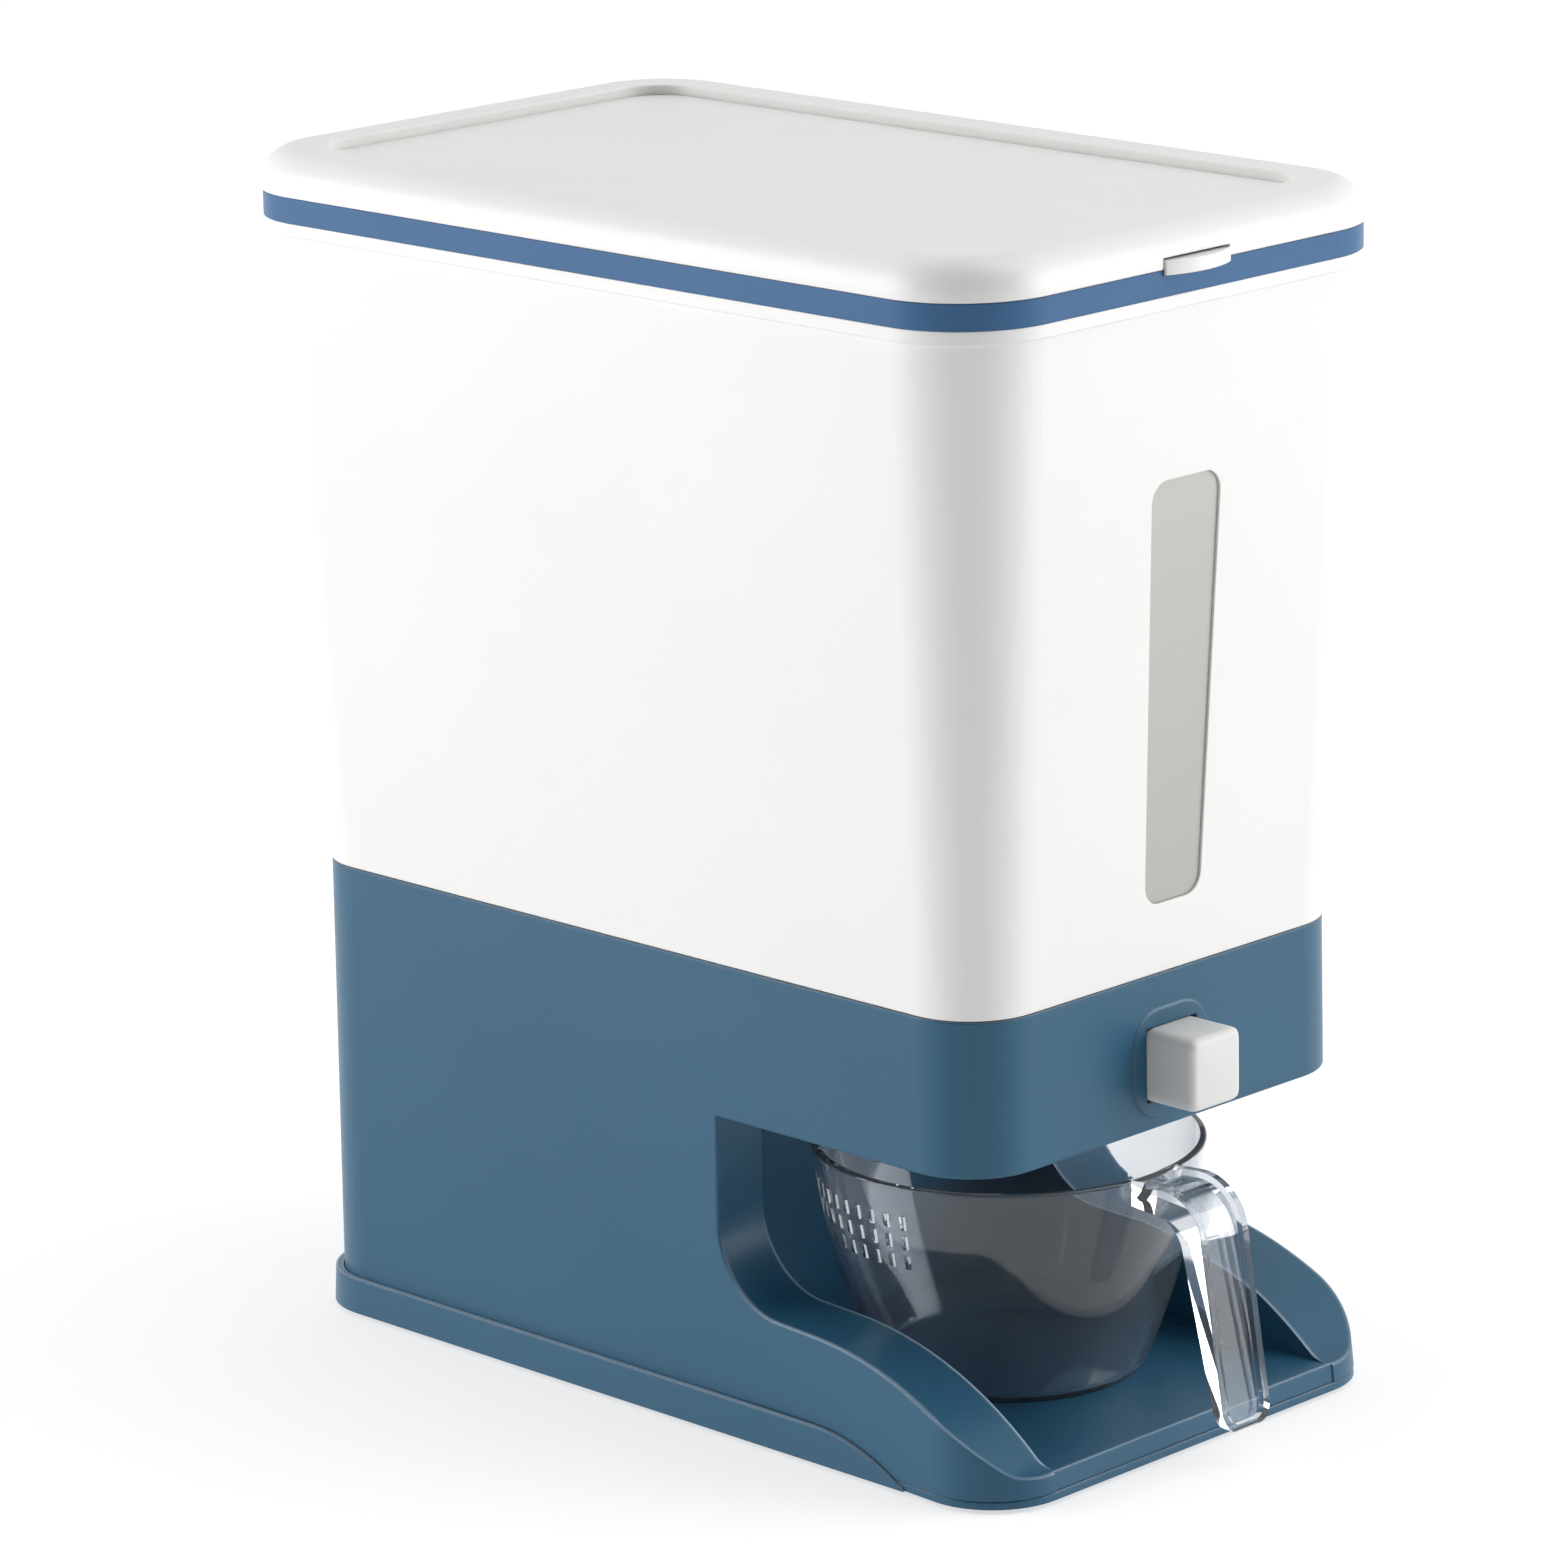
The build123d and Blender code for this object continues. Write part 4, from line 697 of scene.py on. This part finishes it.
# %% [markdown]
# ## White plastic
#
# Bin, hopper, lid and catch are a warm white with a satin skin. A trace of subsurface light keeps the walls
# from looking like painted metal: light enters the plastic and leaves a few millimetres further on.

# %% Dress the white pieces


def let_light_in(finish, share, reach):
    """A share of the light enters the plastic and leaves it within reach, in metres for each colour."""
    shader = shader_of(finish)
    shader.inputs["Subsurface Weight"].default_value = share
    shader.inputs["Subsurface Radius"].default_value = reach
    shader.inputs["Subsurface Scale"].default_value = 1.0


white = moulded_plastic(
    "white_plastic",
    tint=(0.80, 0.80, 0.785),
    deep_tint=(0.78, 0.78, 0.765),
    # paler colour of the painted highlight on upper rims
    highlight_tint=(0.86, 0.86, 0.85),
    roughness=0.38,
    grain=0.0011,
    grain_depth=0.00001,
    edge_radius=0.0007,
)
let_light_in(white, share=0.06, reach=(0.004, 0.004, 0.0035))
dress(["bin", "lid", "lid_catch", "hopper"], white)

# %% [markdown]
# ## Push button
#
# The button is moulded apart from the bin, in a white that is a touch greyer and a little more matt, because
# its grain has to hide finger marks.

# %% Dress the button
touch = moulded_plastic(
    "button_plastic",
    tint=(0.68, 0.68, 0.665),
    deep_tint=(0.66, 0.66, 0.645),
    # paler colour of the painted highlight on upper rims
    highlight_tint=(0.82, 0.82, 0.81),
    roughness=0.45,
    grain=0.0009,
    grain_depth=0.00002,
    edge_radius=0.0007,
)
dress(["push_button_cap"], touch)

# %% [markdown]
# ## Level window
#
# The window is a frosted strip set back in the front wall. Milky plastic is mostly a diffuse surface, so it
# is a warm pale grey with a fine moulded ripple. The hopper inside takes light away low down; that shade is
# painted in, as a ramp along the height that deepens the grey towards the lower end.

# %% Dress the window
# painted shade: the darker grey at the lower end of the window
SHADE_LOW_TINT = (0.415, 0.408, 0.388)

frosted = moulded_plastic(
    "window_plastic",
    tint=(0.49, 0.482, 0.458),
    deep_tint=(0.47, 0.462, 0.439),
    # paler colour of the painted highlight on upper rims
    highlight_tint=(0.75, 0.75, 0.74),
    roughness=0.34,
    grain=0.0025,
    grain_depth=0.00002,
    edge_radius=0.0005,
)
window_low, window_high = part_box("window")
tree = frosted.node_tree
places = tree.nodes["Texture Coordinate"].outputs["Object"]
height = tree.nodes.new("ShaderNodeSeparateXYZ")
tree.links.new(places, height.inputs["Vector"])
depth = add_range(tree, height.outputs["Z"], "depth in the bin", 1.0, 0.0, window_low[2], window_high[2])
base_colour = shader_of(frosted).inputs["Base Color"]
melt = base_colour.links[0].from_socket
# painted shade: the grey deepens towards the lower end of the window
colour = add_blend(tree, depth, "painted shade low down", melt, SHADE_LOW_TINT)
tree.links.new(colour, base_colour)
dress(["window"], frosted)

# %% [markdown]
# ## Inner plastic, rubber and steel
#
# The pieces of the outlet sit inside the head and are seen only from below or with the lid open. They are a
# plain matt off-white. The pads and the outlet seal are dark rubber with a dusty bloom, the lid's gasket is
# milky silicone, and the screws, pins and spring are drawn or turned steel, so their fine lines follow the
# length of the wire or the turn of the lathe.

# %% Dress the inner plastic, the rubber and the silicone
inner = moulded_plastic(
    "inner_plastic",
    tint=(0.76, 0.76, 0.73),
    deep_tint=(0.72, 0.72, 0.69),
    # paler colour of the painted highlight on upper rims
    highlight_tint=(0.80, 0.80, 0.78),
    roughness=0.5,
    grain=0.0006,
    grain_depth=0.00002,
    edge_radius=0.0004,
)
dress(["chute", "slide_gate", "gate_housing"], inner)

rubber = moulded_plastic(
    "pad_rubber",
    tint=(0.022, 0.022, 0.024),
    deep_tint=(0.016, 0.016, 0.017),
    # paler colour of the painted highlight on upper rims
    highlight_tint=(0.05, 0.05, 0.05),
    roughness=0.72,
    grain=0.0004,
    grain_depth=0.00004,
    edge_radius=0.0004,
)
dress(["grip_pads", "outlet_seal"], rubber)

silicone = moulded_plastic(
    "gasket_rubber",
    tint=(0.72, 0.72, 0.70),
    deep_tint=(0.68, 0.68, 0.66),
    # paler colour of the painted highlight on upper rims
    highlight_tint=(0.80, 0.80, 0.78),
    roughness=0.55,
    grain=0.0006,
    grain_depth=0.00002,
    edge_radius=0.0004,
)
let_light_in(silicone, share=0.15, reach=(0.003, 0.003, 0.003))
dress(["lid_gasket"], silicone)

# %% Dress the steel
LINE_SIZE = 0.0004
LINE_DEPTH = 0.000004
LINE_SWING = 0.08
STEEL_EDGE = 0.0002
DARK_STEEL = (0.50, 0.50, 0.51)
PALE_STEEL = (0.60, 0.60, 0.61)


def drawn_steel(name, scale, roughness):
    """Steel with fine lines, which are long along an axis of small scale."""
    finish, tree, shader, places = new_finish(name)
    mapping = tree.nodes.new("ShaderNodeMapping")
    mapping.inputs["Scale"].default_value = scale
    tree.links.new(places, mapping.inputs["Vector"])
    lines = add_noise(tree, mapping.outputs["Vector"], "draw lines", LINE_SIZE, detail=3.0)
    share = add_range(tree, lines, "line contrast", 0.0, 1.0)
    colour = add_blend(tree, share, "line colour", DARK_STEEL, PALE_STEEL)
    tree.links.new(colour, shader.inputs["Base Color"])
    shine = add_range(tree, lines, "line shine", roughness - LINE_SWING, roughness + LINE_SWING)
    tree.links.new(shine, shader.inputs["Roughness"])
    normal = add_soft_edges(tree, STEEL_EDGE)
    tree.links.new(add_bump(tree, lines, normal, LINE_DEPTH), shader.inputs["Normal"])
    shader.inputs["Metallic"].default_value = 1.0
    return finish


turned_steel = drawn_steel("screw_steel", scale=(1.0, 1.0, 6.0), roughness=0.32)
dress(["cross_screws", "bin_screws", "housing_screws"], turned_steel)
wire_steel = drawn_steel("spring_steel", scale=(0.08, 1.0, 1.0), roughness=0.28)
dress(["hinge_pins", "catch_pin", "return_coil"], wire_steel)

# %% [markdown]
# ## Clear cup
#
# The washing cup is clear plastic with a smoky blue cast. It is seen by what it bends and mirrors: dark stand
# behind it, white floor through the far opening, and bright lines on its rim and on the edges of the strap. A
# little of its weight stays diffuse, as the faint veil that washing leaves. Glass in a path tracer blocks
# lamps and throws a hard dark shadow, so shadow rays see a thin tinted film instead.

# %% Dress the cup
RIPPLE_SIZE = 0.018
RIPPLE_DEPTH = 0.00002
SMOKE = (0.75, 0.78, 0.82)
PALE_SMOKE = (0.79, 0.82, 0.855)
FILM_TINT = (0.80, 0.82, 0.84)


def let_lamps_through(tree, shader, tint):
    """Thin clear walls cast only a faint tinted shadow, as real ones do."""
    film = add_node(tree, "BsdfTransparent", "clear to lamps", Color=(*tint, 1.0))
    ray = tree.nodes.new("ShaderNodeLightPath")
    choice = tree.nodes.new("ShaderNodeMixShader")
    tree.links.new(ray.outputs["Is Shadow Ray"], choice.inputs["Fac"])
    tree.links.new(shader.outputs["BSDF"], choice.inputs[1])
    tree.links.new(film.outputs["BSDF"], choice.inputs[2])
    tree.links.new(choice.outputs["Shader"], tree.nodes["Material Output"].inputs["Surface"])


clear, tree, shader, places = new_finish("clear_plastic")
ripple = add_noise(tree, places, "moulded ripple", RIPPLE_SIZE)
tree.links.new(add_bump(tree, ripple, None, RIPPLE_DEPTH), shader.inputs["Normal"])
shine = add_range(tree, ripple, "polish", low=0.015, high=0.05)
tree.links.new(shine, shader.inputs["Roughness"])
tone = add_range(tree, ripple, "tone", 0.0, 1.0)
tint = add_blend(tree, tone, "smoky cast", SMOKE, PALE_SMOKE)
tree.links.new(tint, shader.inputs["Base Color"])
shader.inputs["Transmission Weight"].default_value = 0.98
shader.inputs["IOR"].default_value = 1.45
let_lamps_through(tree, shader, FILM_TINT)
dress(["cup"], clear)

# %% [markdown]
# ## Floor finish
#
# The floor is plain matt paper on a light table: more than half of its white is its own glow, so the shadows
# on it stay thin. It glows more far behind, where no lamp reaches, and that keeps the ground white up to the
# upper edge of the picture. The faintest cloud in the paper keeps it from being dead flat.

# %% Dress the floor
GLOW_NEAR = 0.62
GLOW_FAR = 0.74
GLOW_REACH = 1.2
PAPER_CLOUD = 0.8
PAPER = (0.42, 0.42, 0.42)
PALE_PAPER = (0.44, 0.44, 0.44)

paper, tree, shader, places = new_finish("studio_paper")
cloud = add_noise(tree, places, "paper cloud", PAPER_CLOUD)
share = add_range(tree, cloud, "paper contrast", 0.0, 1.0)
colour = add_blend(tree, share, "paper white", PAPER, PALE_PAPER)
tree.links.new(colour, shader.inputs["Base Color"])
away = tree.nodes.new("ShaderNodeVectorMath")
away.operation = "DOT_PRODUCT"
away.inputs[1].default_value = -DARK_SIDE.normalized()
tree.links.new(places, away.inputs[0])
glow = add_range(tree, away.outputs["Value"], "glow behind", GLOW_NEAR, GLOW_FAR, 0.0, GLOW_REACH)
tree.links.new(glow, shader.inputs["Emission Strength"])
shader.inputs["Emission Color"].default_value = (1.0, 1.0, 1.0, 1.0)
shader.inputs["Roughness"].default_value = 0.9
shader.inputs["Specular IOR Level"].default_value = 0.1
floor.data.materials.append(paper)
print("floor:", paper.name)
